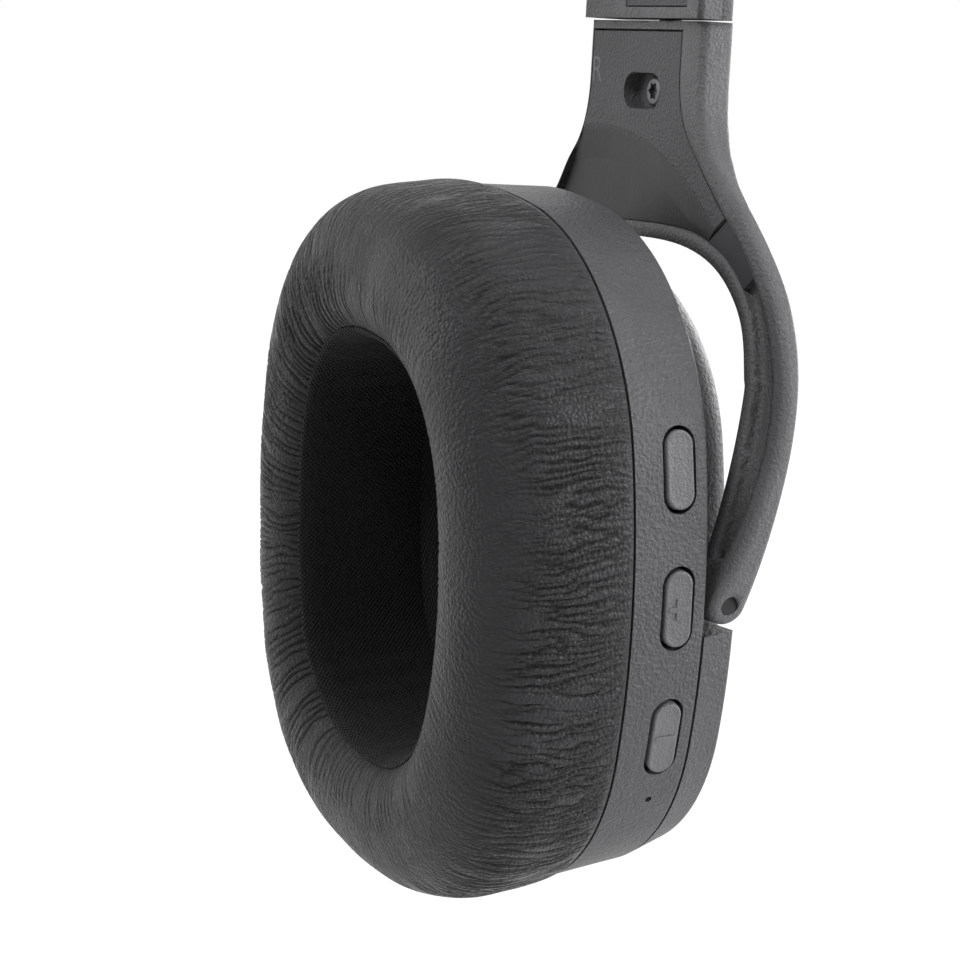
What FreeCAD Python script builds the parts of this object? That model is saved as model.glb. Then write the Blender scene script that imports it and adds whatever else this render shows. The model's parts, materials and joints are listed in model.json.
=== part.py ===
"""Over-ear headset with two hinged, swivelling ear cups on an adjustable headband.

Millimetres.  +X is the wearer's right, +Y the wearer's front, +Z up.  The origin is midway between
the ears, where the head sits.  Each side is modelled in its own frame, whose origin is the middle of
the seam between ear cushion and cup, with +X pointing away from the head; the left side is the same
frame turned half a turn about Z.
"""
import FreeCAD, Part
import math
import os
import Sketcher

Vector = FreeCAD.Vector
Rotation = FreeCAD.Rotation
Placement = FreeCAD.Placement
AXIS_X, AXIS_Y, AXIS_Z = Vector(1, 0, 0), Vector(0, 1, 0), Vector(0, 0, 1)

# ---------------------------------------------------------------------------------------------
# Driving dimensions
# ---------------------------------------------------------------------------------------------
SIZES = {
    # general
    "ear_offset": (69.0, "origin to the seam plane of a cup"),
    "seat_gap": (0.1, "gap between pieces that are screwed, glued or snapped together"),
    "soft_gap": (0.3, "gap round foam and cloth"),
    "cup_pitch": (8.0, "degrees the long axis of the cup leans rearwards"),
    "cup_tilt": (5.0, "degrees the top of the cup leans towards the head at rest"),
    # oval outlines: radii of the side, end and corner arcs as shares of the half sizes
    "side_bow": (2.25, "side radius / half height"),
    "end_bow": (2.6, "end radius / half width"),
    "corner_bow": (0.84, "corner radius / half width"),
    # cup
    "cup_half_width": (39.0, ""),
    "cup_half_height": (47.5, ""),
    "cup_depth": (11.4, "seam to the rim"),
    "cup_draft": (1.0, "how much smaller the rim is than the seam"),
    "cup_wall": (2.2, ""),
    "cup_floor": (2.0, ""),
    "rim_step": (1.2, "depth of the step that takes the back cover"),
    "rim_round": (0.8, ""),
    "ledge": (1.0, "width of the ledge that carries the baffle"),
    "ledge_depth": (2.4, ""),
    "floor_half_width": (24.0, "opening in the cup floor"),
    "floor_half_height": (32.0, ""),
    # back cover
    "dome_half_width": (30.2, ""),
    "dome_half_height": (38.5, ""),
    "dome_top": (20.5, "seam plane to the outer face"),
    "dome_round": (5.0, ""),
    "dome_wall": (2.6, ""),
    "chin_top": (17.0, "seam plane to the face of the lower raised part"),
    "chin_draft": (1.6, ""),
    "chin_gap": (1.15, "gap between the arm end and the raised part"),
    # inside the cup
    "baffle_thickness": (2.0, ""),
    "driver_hole_radius": (17.5, ""),
    "driver_radius": (20.5, ""),
    "driver_flange": (1.8, ""),
    "basket_radius": (16.5, ""),
    "basket_depth": (3.2, ""),
    "magnet_radius": (10.5, ""),
    "magnet_depth": (3.4, ""),
    # cushion
    "cushion_depth": (24.0, "seam plane to the face that meets the head"),
    "cushion_half_width": (40.2, ""),
    "cushion_half_height": (48.7, ""),
    "opening_half_width": (22.0, ""),
    "opening_half_height": (30.0, ""),
    "cushion_round": (12.0, "round of the outer edge towards the head"),
    "cushion_inner_round": (4.0, ""),
    "cushion_back_round": (2.7, ""),
    "ring_thickness": (1.7, "plate that carries the cushion"),
    "ring_inset": (0.6, ""),
    "ring_half_width": (25.0, "opening of the plate"),
    "ring_half_height": (33.0, ""),
    "scrim_thickness": (0.8, ""),
    # buttons on the rear of the right cup
    "button_x": (6.85, "seam plane to the middle of the buttons"),
    "button_pitch": (18.3, ""),
    "button_width": (4.6, ""),
    "button_length": (11.0, ""),
    "button_gap": (0.25, ""),
    "button_proud": (0.3, ""),
    "button_travel": (0.6, ""),
    "button_flange": (1.0, ""),
    "button_flange_length": (13.6, ""),
    "switch_height": (0.45, ""),
    "switch_radius": (1.6, ""),
    "strip_thickness": (1.0, ""),
    "mic_radius": (1.3, ""),
    "mic_depth": (1.6, ""),
    "mic_hole_radius": (0.5, ""),
    "mic_x": (6.7, ""),
    "mic_drop": (28.0, "middle of the buttons to the microphone hole"),
    # sockets on the rear of the left cup
    "socket_x": (5.3, ""),
    "audio_inset": (1.8, "half width of the cup to the mouth of the audio socket"),
    "charge_inset": (0.0, "half width of the cup to the mouth of the charging socket"),
    "audio_bore_radius": (1.8, ""),
    "audio_bore_length": (14.0, ""),
    "audio_drop": (9.0, ""),
    "charge_rise": (9.0, ""),
    "charge_width": (8.6, ""),
    "charge_height": (2.8, ""),
    "charge_depth": (7.0, ""),
    "socket_wall": (0.5, ""),
    # battery and circuit board
    "battery_width": (28.0, ""),
    "battery_height": (20.0, ""),
    "battery_thickness": (5.5, ""),
    "board_width": (40.0, ""),
    "board_height": (30.0, ""),
    "board_thickness": (1.4, ""),
    # pivot between cup and yoke
    "pivot_x": (15.5, ""),
    "pivot_z": (-4.6, ""),
    "pin_radius": (1.25, ""),
    "pin_clearance": (0.06, ""),
    "eye_radius": (2.75, ""),
    # yoke
    "fork_half_width": (42.3, "outside of the arms"),
    "fork_centre": (18.0, "height where the fork is widest"),
    "fork_rise": (38.0, ""),
    "fork_drop": (52.0, ""),
    "window_half_width": (32.0, ""),
    "window_centre": (15.0, ""),
    "window_rise": (26.4, ""),
    "stem_half_width": (16.0, ""),
    "stem_shift": (1.2, "middle of the stem, forward of the pivot"),
    "stem_top": (71.2, ""),
    "stem_inner": (19.4, "seam plane to the face towards the head"),
    "stem_thickness": (5.0, ""),
    "lip": (3.0, "rim round the channel on the rear arm"),
    "stem_lip": (5.6, "rim beside the yoke cover at the rear of the stem"),
    "front_lip": (1.1, "rim along the front of the channel and cover"),
    "flange": (2.0, "width of the rim round the window"),
    "channel_depth": (1.6, ""),
    "arm_round": (1.2, ""),
    "knee_z": (34.0, "height above which the face towards the head is upright"),
    "shoulder_z": (52.0, "height above which the outer face is upright"),
    "shoulder_radius": (80.0, "curve of the outer face below that"),
    "neck_radius": (14.0, "hollow curve between stem and fork"),
    "neck_z": (62.5, "height where the stem starts to widen"),
    "cover_end_z": (29.0, "height where the line that ends the cover wings would cross the middle"),
    "filler_end_z": (16.2, "the same for the line that ends the cable covers"),
    "end_slope": (0.7, "rise of those lines per millimetre outwards"),
    "filler_recess": (0.4, "how far the cable covers lie below the face"),
    "flare_radius": (50.0, "radius of the crest above the dished shoulder"),
    "flare_y": (12.8, "middle of the crest arc, forward of the stem"),
    "flare_z": (6.7, ""),
    "flare_run": (5.0, "width of the slope below the crest"),
    "flare_depth": (1.0, ""),
    "screw_z": (61.5, ""),
    "screw_head_radius": (2.2, ""),
    "screw_radius": (1.1, ""),
    "screw_recess_length": (10.2, ""),
    "screw_recess_width": (5.0, ""),
    "screw_well": (2.2, "depth of the screw recess"),
    "well_wall": (0.8, ""),
    "well_floor": (0.5, ""),
    "screw_head_thickness": (1.1, ""),
    # swivel
    "post_x": (22.7, ""),
    "post_radius": (1.2, ""),
    "post_clearance": (0.05, ""),
    "swivel_gap": (0.8, ""),
    "post_head_radius": (1.6, ""),
    "post_foot": (5.9, "length of post pressed into the stem"),
    "post_end": (1.0, "post head to the end of the slider"),
    # slider
    "block_height": (13.5, ""),
    "block_round": (3.0, ""),
    "block_margin": (0.4, "how much the block stands out over the stem"),
    "block_step": (1.0, "the same on the side towards the head"),
    "panel_depth": (1.2, ""),
    "panel_half_width": (8.5, ""),
    "panel_shift": (3.0, "middle of the panel, rearward of the post"),
    "slide_x": (22.0, ""),
    "slide_width": (18.0, ""),
    "slide_thickness": (1.2, ""),
    "slide_bottom": (80.7, ""),
    "slide_top": (112.0, ""),
    "slide_gap": (0.2, ""),
    "slide_shown": (5.5, "bare slider between block and band end at rest"),
    # headband
    "band_x": (23.3, "seam plane to the middle line of the band"),
    "band_straight": (15.0, "height of the straight band ends"),
    "band_side_radius": (40.0, ""),
    "band_side_turn": (70.0, "degrees the side arc turns through"),
    "band_width": (34.0, ""),
    "shell_thickness": (3.4, ""),
    "spring_thickness": (0.8, ""),
    "spring_width": (14.0, ""),
    "liner_thickness": (2.6, ""),
    "pad_thickness": (8.5, ""),
    "pad_start": (38.0, "degrees up the side arc where the pad starts"),
    "spring_start": (26.0, ""),
    "end_width": (35.0, ""),
    "end_depth": (11.0, ""),
    "edge_round": (1.2, ""),
}


class Size:
    """A length that carries both its value and the spreadsheet expression it comes from."""

    def __init__(self, value, text):
        self.value, self.text = float(value), text

    @staticmethod
    def of(other):
        return other if isinstance(other, Size) else Size(other, repr(float(other)))

    def __add__(self, other):
        other = Size.of(other)
        return Size(self.value + other.value, "(%s + %s)" % (self.text, other.text))

    def __sub__(self, other):
        other = Size.of(other)
        return Size(self.value - other.value, "(%s - %s)" % (self.text, other.text))

    def __rsub__(self, other):
        return Size.of(other) - self

    def __mul__(self, other):
        other = Size.of(other)
        return Size(self.value * other.value, "(%s * %s)" % (self.text, other.text))

    def __truediv__(self, other):
        other = Size.of(other)
        return Size(self.value / other.value, "(%s / %s)" % (self.text, other.text))

    __radd__, __rmul__ = __add__, __mul__

    def __neg__(self):
        return Size(-self.value, "(0 - %s)" % self.text)

    def __float__(self):
        return self.value


class Dims:
    """The sheet's named sizes as attributes."""


class Side:
    """One side of the headset: +1 right, -1 left.  rear is the sign of Y that points rearwards."""

    def __init__(self, name, sign):
        self.name, self.sign, self.rear = name, sign, -sign
        self.turn = Rotation(AXIS_Z, 0 if sign > 0 else 180)

    def label(self, node):
        return "%s_%s" % (node, self.name)


doc = FreeCAD.newDocument("headset")
sheet = doc.addObject("Spreadsheet::Sheet", "sizes")
d = Dims()
for row, (alias, (size, meaning)) in enumerate(SIZES.items(), start=1):
    sheet.set("A%d" % row, alias)
    sheet.set("B%d" % row, repr(size))
    sheet.set("C%d" % row, meaning or alias.replace("_", " "))
    sheet.setAlias("B%d" % row, alias)
    setattr(d, alias, Size(size, "sizes." + alias))
doc.recompute()

RIGHT, LEFT = Side("right", 1), Side("left", -1)
nodes = []


# ---------------------------------------------------------------------------------------------
# Helpers
# ---------------------------------------------------------------------------------------------
def place_on_side(obj, side, local=Placement()):
    """Place a piece of the yoke or slider frame of one side."""
    base = Placement(Vector(side.sign * d.ear_offset.value, 0, 0), side.turn)
    obj.Placement = base.multiply(local)


def place_in_cup(obj, side, local=Placement()):
    """Place a piece of the cup frame, which leans in by the rest tilt."""
    lean = Placement(Vector(), Rotation(AXIS_Y, -d.cup_tilt.value))
    place_on_side(obj, side, lean.multiply(local))


def keep(obj, label):
    """Name a finished sub-part, which later recomputes leave alone; its label names its file."""
    obj.Label = label
    obj.purgeTouched()
    nodes.append(obj)
    return obj


def new_body(name):
    return doc.addObject("PartDesign::Body", name)


def new_sketch(body, name, role, offset=None, turn=0.0, shift=(0.0, 0.0)):
    """Sketch on an origin plane, moved by offset along its normal and turned about that normal."""
    sketch = body.newObject("Sketcher::SketchObject", name)
    plane = next(f for f in body.Origin.OriginFeatures if f.Role == role)
    sketch.AttachmentSupport = [(plane, "")]
    sketch.MapMode = "FlatFace"
    height = Size.of(0.0 if offset is None else offset)
    sketch.AttachmentOffset = Placement(Vector(shift[0], shift[1], height.value), Rotation(AXIS_Z, turn))
    if offset is not None:
        sketch.setExpression("AttachmentOffset.Base.z", height.text)
    return sketch


def bound(sketch, kind, *args):
    """Add a dimension whose datum follows the sheet."""
    size = Size.of(args[-1])
    index = sketch.addConstraint(Sketcher.Constraint(kind, *args[:-1], size.value))
    sketch.setExpression("Constraints[%d]" % index, size.text)


def add_oval(sketch, half_width, half_height):
    """Eight tangent arcs: two sides, two ends and four corners, all radii bound to the sheet."""
    half_width, half_height = Size.of(half_width), Size.of(half_height)
    side_r, end_r = d.side_bow * half_height, d.end_bow * half_width
    corner_r = d.corner_bow * half_width
    side_x, end_y = half_width.value - side_r.value, half_height.value - end_r.value
    reach_s, reach_e = side_r.value - corner_r.value, end_r.value - corner_r.value
    span = math.hypot(side_x, end_y)
    along = (span ** 2 + reach_s ** 2 - reach_e ** 2) / (2 * span)
    across = math.sqrt(reach_s ** 2 - along ** 2)
    ux, uy = -side_x / span, end_y / span
    corner = max((Vector(side_x + ux * along + s * uy * across, uy * along - s * ux * across, 0)
                  for s in (1, -1)), key=lambda v: v.x + v.y)
    low = math.atan2(corner.y, corner.x - side_x)
    high = math.atan2(corner.y - end_y, corner.x)
    half_turn = math.pi
    arcs = [(Vector(side_x, 0, 0), side_r, -low, low),
            (corner, corner_r, low, high),
            (Vector(0, end_y, 0), end_r, high, half_turn - high),
            (Vector(-corner.x, corner.y, 0), corner_r, half_turn - high, half_turn - low),
            (Vector(-side_x, 0, 0), side_r, half_turn - low, half_turn + low),
            (-corner, corner_r, half_turn + low, half_turn + high),
            (Vector(0, -end_y, 0), end_r, half_turn + high, 2 * half_turn - high),
            (Vector(corner.x, -corner.y, 0), corner_r, 2 * half_turn - high, 2 * half_turn - low)]
    ids = [sketch.addGeometry(Part.ArcOfCircle(Part.Circle(c, AXIS_Z, r.value), a, b))
           for c, r, a, b in arcs]
    for one, other in zip(ids, ids[1:] + ids[:1]):
        sketch.addConstraint(Sketcher.Constraint("Tangent", one, 2, other, 1))
    for same in ((0, 4), (2, 6), (1, 3), (1, 5), (1, 7)):
        sketch.addConstraint(Sketcher.Constraint("Equal", ids[same[0]], ids[same[1]]))
    for arc, axis in ((0, -1), (4, -1), (2, -2), (6, -2)):
        sketch.addConstraint(Sketcher.Constraint("PointOnObject", ids[arc], 3, axis))
    bound(sketch, "Radius", ids[0], side_r)
    bound(sketch, "Radius", ids[2], end_r)
    bound(sketch, "Radius", ids[1], corner_r)
    bound(sketch, "DistanceX", ids[0], 3, -1, 1, side_r - half_width)
    bound(sketch, "DistanceX", -1, 1, ids[4], 3, side_r - half_width)
    bound(sketch, "DistanceY", ids[2], 3, -1, 1, end_r - half_height)
    bound(sketch, "DistanceY", -1, 1, ids[6], 3, end_r - half_height)


def add_polygon(sketch, points):
    """Closed polygon through (x, y) pairs."""
    corners = [Vector(float(x), float(y), 0) for x, y in points]
    for one, other in zip(corners, corners[1:] + corners[:1]):
        sketch.addGeometry(Part.LineSegment(one, other))


def add_rectangle(sketch, low_x, low_y, high_x, high_y):
    """Rectangle with its four sides bound to the sheet."""
    ends = [Size.of(v) for v in (low_x, low_y, high_x, high_y)]
    lx, ly, hx, hy = (v.value for v in ends)
    corners = [Vector(lx, ly, 0), Vector(hx, ly, 0), Vector(hx, hy, 0), Vector(lx, hy, 0)]
    ids = [sketch.addGeometry(Part.LineSegment(a, b)) for a, b in zip(corners, corners[1:] + corners[:1])]
    for one, other in zip(ids, ids[1:] + ids[:1]):
        sketch.addConstraint(Sketcher.Constraint("Coincident", one, 2, other, 1))
    for i in (0, 2):
        sketch.addConstraint(Sketcher.Constraint("Horizontal", ids[i]))
        sketch.addConstraint(Sketcher.Constraint("Vertical", ids[i + 1]))
    bound(sketch, "DistanceX", -1, 1, ids[0], 1, ends[0])
    bound(sketch, "DistanceY", -1, 1, ids[0], 1, ends[1])
    bound(sketch, "DistanceX", -1, 1, ids[1], 2, ends[2])
    bound(sketch, "DistanceY", -1, 1, ids[1], 2, ends[3])


def add_circle(sketch, radius, x=0.0, y=0.0):
    """Circle with a bound radius and centre."""
    radius, x, y = Size.of(radius), Size.of(x), Size.of(y)
    ring = sketch.addGeometry(Part.Circle(Vector(x.value, y.value, 0), AXIS_Z, radius.value))
    bound(sketch, "Radius", ring, radius)
    bound(sketch, "DistanceX", -1, 1, ring, 3, x)
    bound(sketch, "DistanceY", -1, 1, ring, 3, y)


def add_slot(sketch, width, length, x=0.0, y=0.0):
    """Upright slot with round ends: width along x, overall length along y."""
    r = Size.of(width).value / 2
    reach = Size.of(length).value / 2 - r
    cx, cy = Size.of(x).value, Size.of(y).value
    top = Part.Circle(Vector(cx, cy + reach, 0), AXIS_Z, r)
    low = Part.Circle(Vector(cx, cy - reach, 0), AXIS_Z, r)
    sketch.addGeometry(Part.ArcOfCircle(top, 0, math.pi))
    sketch.addGeometry(Part.LineSegment(Vector(cx - r, cy + reach, 0), Vector(cx - r, cy - reach, 0)))
    sketch.addGeometry(Part.ArcOfCircle(low, math.pi, 2 * math.pi))
    sketch.addGeometry(Part.LineSegment(Vector(cx + r, cy - reach, 0), Vector(cx + r, cy + reach, 0)))


def extrude(body, kind, name, sketch, length, along=True, symmetric=False, through=False):
    """Pad or pocket; along means in the direction of the sketch's normal."""
    feature = body.newObject("PartDesign::" + kind, name)
    feature.Profile = sketch
    feature.Reversed = along if kind == "Pocket" else not along
    if symmetric:
        feature.SideType = "Symmetric"
    if through:
        feature.Type = "ThroughAll"
    else:
        length = Size.of(length)
        feature.Length = length.value
        feature.setExpression("Length", length.text)
    before = body.Shape.Volume if not body.Shape.isNull() else 0.0
    doc.recompute()
    change = body.Shape.Volume - before
    if (change > 0) != (kind == "Pad") or abs(change) < 1e-6:
        raise RuntimeError("%s %s changed the volume by %.3f" % (kind, name, change))
    return feature


def pad(body, name, sketch, length, **options):
    return extrude(body, "Pad", name, sketch, length, **options)


def pocket(body, name, sketch, length=1.0, **options):
    return extrude(body, "Pocket", name, sketch, length, **options)


def draft_pad(body, name, sketch, length, draft):
    """Pad whose far end is smaller than its sketch by draft all round."""
    feature = pad(body, name, sketch, length)
    length, draft = Size.of(length), Size.of(draft)
    feature.TaperAngle = -math.degrees(math.atan(draft.value / length.value))
    feature.setExpression("TaperAngle", "-atan(%s / %s)" % (draft.text, length.text))
    doc.recompute()
    return feature


def fillet(body, name, radius, picks):
    """Round the edges of the body's tip that picks(edge) accepts."""
    tip = body.Tip
    edges = ["Edge%d" % (i + 1) for i, edge in enumerate(tip.Shape.Edges) if picks(edge)]
    if not edges:
        raise RuntimeError("fillet %s found no edge" % name)
    feature = body.newObject("PartDesign::Fillet", name)
    feature.Base = (tip, edges)
    radius = Size.of(radius)
    feature.Radius = radius.value
    feature.setExpression("Radius", radius.text)
    doc.recompute()
    if not (feature.isValid() and feature.Shape.isValid()):
        raise RuntimeError("fillet %s failed on %d edges" % (name, len(edges)))
    return feature


def at(axis, place, reach=0.01):
    """Edge test: the edge lies in the plane where the axis coordinate is place."""
    place = Size.of(place).value

    def test(edge):
        box = edge.BoundBox
        low, high = {"x": (box.XMin, box.XMax), "y": (box.YMin, box.YMax), "z": (box.ZMin, box.ZMax)}[axis]
        return abs(low - place) < reach and abs(high - place) < reach
    return test


def cylinder(name, radius, length):
    rod = doc.addObject("Part::Cylinder", name)
    for prop, value in (("Radius", Size.of(radius)), ("Height", Size.of(length))):
        setattr(rod, prop, value.value)
        rod.setExpression(prop, value.text)
    return rod


def spline(points, start=None, end=None):
    """Smooth curve through (x, y) pairs, with end directions where given."""
    curve = Part.BSplineCurve()
    vectors = [Vector(float(x), float(y), 0) for x, y in points]
    if start is None:
        curve.interpolate(Points=vectors)
    else:
        curve.interpolate(Points=vectors, InitialTangent=Vector(*start, 0), FinalTangent=Vector(*end, 0))
    return curve


def line(a, b):
    return Part.LineSegment(Vector(float(a[0]), float(a[1]), 0), Vector(float(b[0]), float(b[1]), 0))


# ---------------------------------------------------------------------------------------------
# Ear cup
# ---------------------------------------------------------------------------------------------
def pitch(side):
    """Turn of an oval about the cup's axis that leans its top rearwards."""
    return -side.rear * d.cup_pitch.value


def cup_sketch(body, name, side, offset, half_width, half_height):
    """Oval sketch across the cup at a distance from the seam."""
    sketch = new_sketch(body, name, "YZ_Plane", offset, turn=pitch(side))
    add_oval(sketch, half_width, half_height)
    return sketch


def outline_point(rise, inset):
    """Place and outward slope on the rear of the right cup's outline, inset below the surface.

    rise is measured up the cup's long axis from its middle.  The slope is the angle of the outward
    normal above the rearward direction.
    """
    share = d.button_x.value / d.cup_depth.value
    half_width = d.cup_half_width.value - share * d.cup_draft.value
    half_height = d.cup_half_height.value - share * d.cup_draft.value
    side_r, corner_r = d.side_bow.value * half_height, d.corner_bow.value * half_width
    end_r = d.end_bow.value * half_width
    side_x, end_y = half_width - side_r, half_height - end_r
    reach_s, reach_e = side_r - corner_r, end_r - corner_r
    span = math.hypot(side_x, end_y)
    along = (span ** 2 + reach_s ** 2 - reach_e ** 2) / (2 * span)
    across = math.sqrt(reach_s ** 2 - along ** 2)
    ux, uy = -side_x / span, end_y / span
    corner = max(((side_x + ux * along + s * uy * across, uy * along - s * ux * across)
                  for s in (1, -1)), key=sum)
    low = math.atan2(corner[1], corner[0] - side_x)
    slope = math.asin(rise / side_r)
    centre, radius = (side_x, 0.0), side_r
    if abs(slope) > low:
        flip = math.copysign(1.0, rise)
        slope = math.asin((rise - flip * corner[1]) / corner_r)
        centre, radius = (corner[0], flip * corner[1]), corner_r
    out = centre[0] + (radius - inset) * math.cos(slope)
    up = centre[1] + (radius - inset) * math.sin(slope)
    lean = math.radians(d.cup_pitch.value)
    y = -out * math.cos(lean) - up * math.sin(lean)
    z = -out * math.sin(lean) + up * math.cos(lean)
    return Vector(d.button_x.value, y, z), math.degrees(slope) - d.cup_pitch.value


def rear_frame(rise, inset=0.0, x=None):
    """Frame on the rear of the right cup whose -Y points outwards."""
    place, slope = outline_point(rise, inset)
    place.x = place.x if x is None else x
    return Placement(place, Rotation(AXIS_X, -slope))


def rear_sketch(body, name, rise, inset, x=None):
    """Sketch facing outwards on the rear of the right cup."""
    sketch = body.newObject("Sketcher::SketchObject", name)
    plane = next(f for f in body.Origin.OriginFeatures if f.Role == "XZ_Plane")
    sketch.AttachmentSupport = [(plane, "")]
    sketch.MapMode = "FlatFace"
    place = rear_frame(rise, inset, x)
    spot = place.Base
    sketch.AttachmentOffset = Placement(Vector(spot.x, spot.z, -spot.y), place.Rotation)
    return sketch


BUTTON_RISES = {"button_main": 1, "button_plus": 0, "button_minus": -1}
MIC_RISE = -d.mic_drop.value


def make_housing(side):
    body = new_body("housing_" + side.name)
    rim_w, rim_h = d.cup_half_width - d.cup_draft, d.cup_half_height - d.cup_draft
    seam = cup_sketch(body, "seam", side, 0.0, d.cup_half_width, d.cup_half_height)
    draft_pad(body, "band", seam, d.cup_depth, d.cup_draft)
    fillet(body, "rim_edge", d.rim_round, at("x", d.cup_depth))
    step = cup_sketch(body, "step", side, d.cup_depth, rim_w - d.cup_wall, rim_h - d.cup_wall)
    pocket(body, "cover_step", step, d.rim_step, along=False)
    hollow = cup_sketch(body, "hollow", side, 0.0, d.cup_half_width - d.cup_wall,
                        d.cup_half_height - d.cup_wall)
    pocket(body, "cavity", hollow, d.cup_depth - d.rim_step - d.cup_floor)
    shelf = cup_sketch(body, "shelf", side, 0.0, d.cup_half_width - d.cup_wall + d.ledge,
                       d.cup_half_height - d.cup_wall + d.ledge)
    pocket(body, "baffle_ledge", shelf, d.ledge_depth)
    opening = cup_sketch(body, "opening", side, 0.0, d.floor_half_width, d.floor_half_height)
    pocket(body, "floor_opening", opening, d.cup_depth)
    if side is RIGHT:
        for name, step_no in BUTTON_RISES.items():
            rise = step_no * d.button_pitch.value
            slot = rear_sketch(body, name + "_slot", rise, -1.0)
            add_slot(slot, d.button_width + 2 * d.button_gap, d.button_length + 2 * d.button_gap)
            pocket(body, name + "_hole", slot, d.cup_wall + 3.0, along=False)
            bay = rear_sketch(body, name + "_bay", rise, d.cup_wall.value + 0.1)
            half = d.button_width.value / 2 + d.button_gap.value
            reach = d.button_flange_length.value / 2 + d.button_gap.value
            add_polygon(bay, [(-half, -reach), (half, -reach), (half, reach), (-half, reach)])
            pocket(body, name + "_room", bay, 3.4, along=False)
        hole = rear_sketch(body, "mic_hole", MIC_RISE, -1.0, d.mic_x.value)
        add_circle(hole, d.mic_hole_radius)
        pocket(body, "mic_port", hole, d.cup_wall + 2.0, along=False)
    else:
        ports = new_sketch(body, "ports", "XZ_Plane")
        add_circle(ports, socket_barrel_radius() + 0.1, d.socket_x, -d.audio_drop)
        add_slot(ports, d.charge_height + 2 * d.socket_wall + 0.2, d.charge_width + 2 * d.socket_wall + 0.2,
                 d.socket_x, d.charge_rise)
        pocket(body, "socket_holes", ports, d.cup_half_width + 5.0, along=False)
    place_in_cup(body, side)
    return keep(body, side.label("cup_housing"))


def make_cover(side):
    """Outer cover of the cup: a round-edged dome with a raised part below the arm ends."""
    seat = d.cup_depth + d.seat_gap
    floor = d.cup_depth - d.rim_step + d.seat_gap
    rim_w, rim_h = d.cup_half_width - d.cup_draft, d.cup_half_height - d.cup_draft
    inside_w, inside_h = d.dome_half_width - d.dome_wall, d.dome_half_height - d.dome_wall
    pivot = pivot_in_cup()
    chin = new_body("chin_" + side.name)
    base = cup_sketch(chin, "chin_base", side, seat, rim_w - d.seat_gap, rim_h - d.seat_gap)
    draft_pad(chin, "chin_block", base, d.chin_top - seat, d.chin_draft)
    fillet(chin, "chin_edge", d.rim_round, at("x", d.chin_top))
    cut = new_sketch(chin, "arm_room", "YZ_Plane", d.cup_depth)
    add_rectangle(cut, -100.0, pivot.z - d.eye_radius.value - d.chin_gap.value, 100.0, 100.0)
    pocket(chin, "arm_gap", cut, 50.0)
    inside = cup_sketch(chin, "inside", side, seat, inside_w, inside_h)
    pocket(chin, "dome_room", inside, d.chin_top)
    shell = new_body("dome_" + side.name)
    dome = cup_sketch(shell, "dome", side, floor, d.dome_half_width, d.dome_half_height)
    pad(shell, "dome_block", dome, d.dome_top - floor)
    fillet(shell, "dome_edge", d.dome_round, at("x", d.dome_top))
    flange = cup_sketch(shell, "flange", side, floor, rim_w - d.cup_wall - d.seat_gap,
                        rim_h - d.cup_wall - d.seat_gap)
    pad(shell, "flange_plate", flange, d.rim_step)
    hollow = cup_sketch(shell, "hollow", side, floor, inside_w, inside_h)
    pocket(shell, "dome_hollow", hollow, d.dome_top - floor - d.dome_wall)
    bore = new_sketch(shell, "pin_bore", "XZ_Plane")
    add_circle(bore, d.pin_radius + 0.05, pivot.x, pivot.z)
    pocket(shell, "pin_holes", bore, 200.0, symmetric=True)
    whole = doc.addObject("Part::Fuse", "cover_" + side.name)
    whole.Base, whole.Tool = shell, chin
    doc.recompute()
    place_in_cup(whole, side)
    return keep(whole, side.label("back_cover"))


def pivot_in_cup():
    """The pivot's place in the frame of the cup, which leans in by the rest tilt."""
    return Rotation(AXIS_Y, d.cup_tilt.value).multVec(Vector(d.pivot_x.value, 0, d.pivot_z.value))


def make_pins(side):
    """Two steel pins that join the cup's cover to the ends of the yoke's arms."""
    inner = d.dome_half_width - d.dome_wall - 1.0
    outer = arm_outer_reach() - 0.4
    pair = doc.addObject("Part::Compound", "pins_" + side.name)
    rods = []
    for sign in (1, -1):
        rod = cylinder("pin", d.pin_radius, outer - inner)
        start = Vector(d.pivot_x.value, sign * inner.value, d.pivot_z.value)
        rod.Placement = Placement(start, Rotation(AXIS_Z, Vector(0, sign, 0)))
        rods.append(rod)
    pair.Links = rods
    place_on_side(pair, side)
    return keep(pair, side.label("pivot_pins"))


def arm_outer_reach():
    """Half the distance over the arm ends at the pivot."""
    drop = (d.fork_centre.value - d.pivot_z.value) / d.fork_drop.value
    return Size.of(d.fork_half_width.value * (1 - drop ** FORK_POWER) ** (1 / FORK_POWER))


def make_baffle(side):
    body = new_body("baffle_body_" + side.name)
    plate = cup_sketch(body, "plate", side, d.ledge_depth - d.seat_gap - d.baffle_thickness,
                       d.cup_half_width - d.cup_wall + d.ledge - d.seat_gap,
                       d.cup_half_height - d.cup_wall + d.ledge - d.seat_gap)
    pad(body, "baffle_plate", plate, d.baffle_thickness)
    hole = new_sketch(body, "hole", "YZ_Plane")
    add_circle(hole, d.driver_hole_radius)
    pocket(body, "driver_hole", hole, d.cup_depth)
    place_in_cup(body, side)
    return keep(body, side.label("baffle"))


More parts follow.
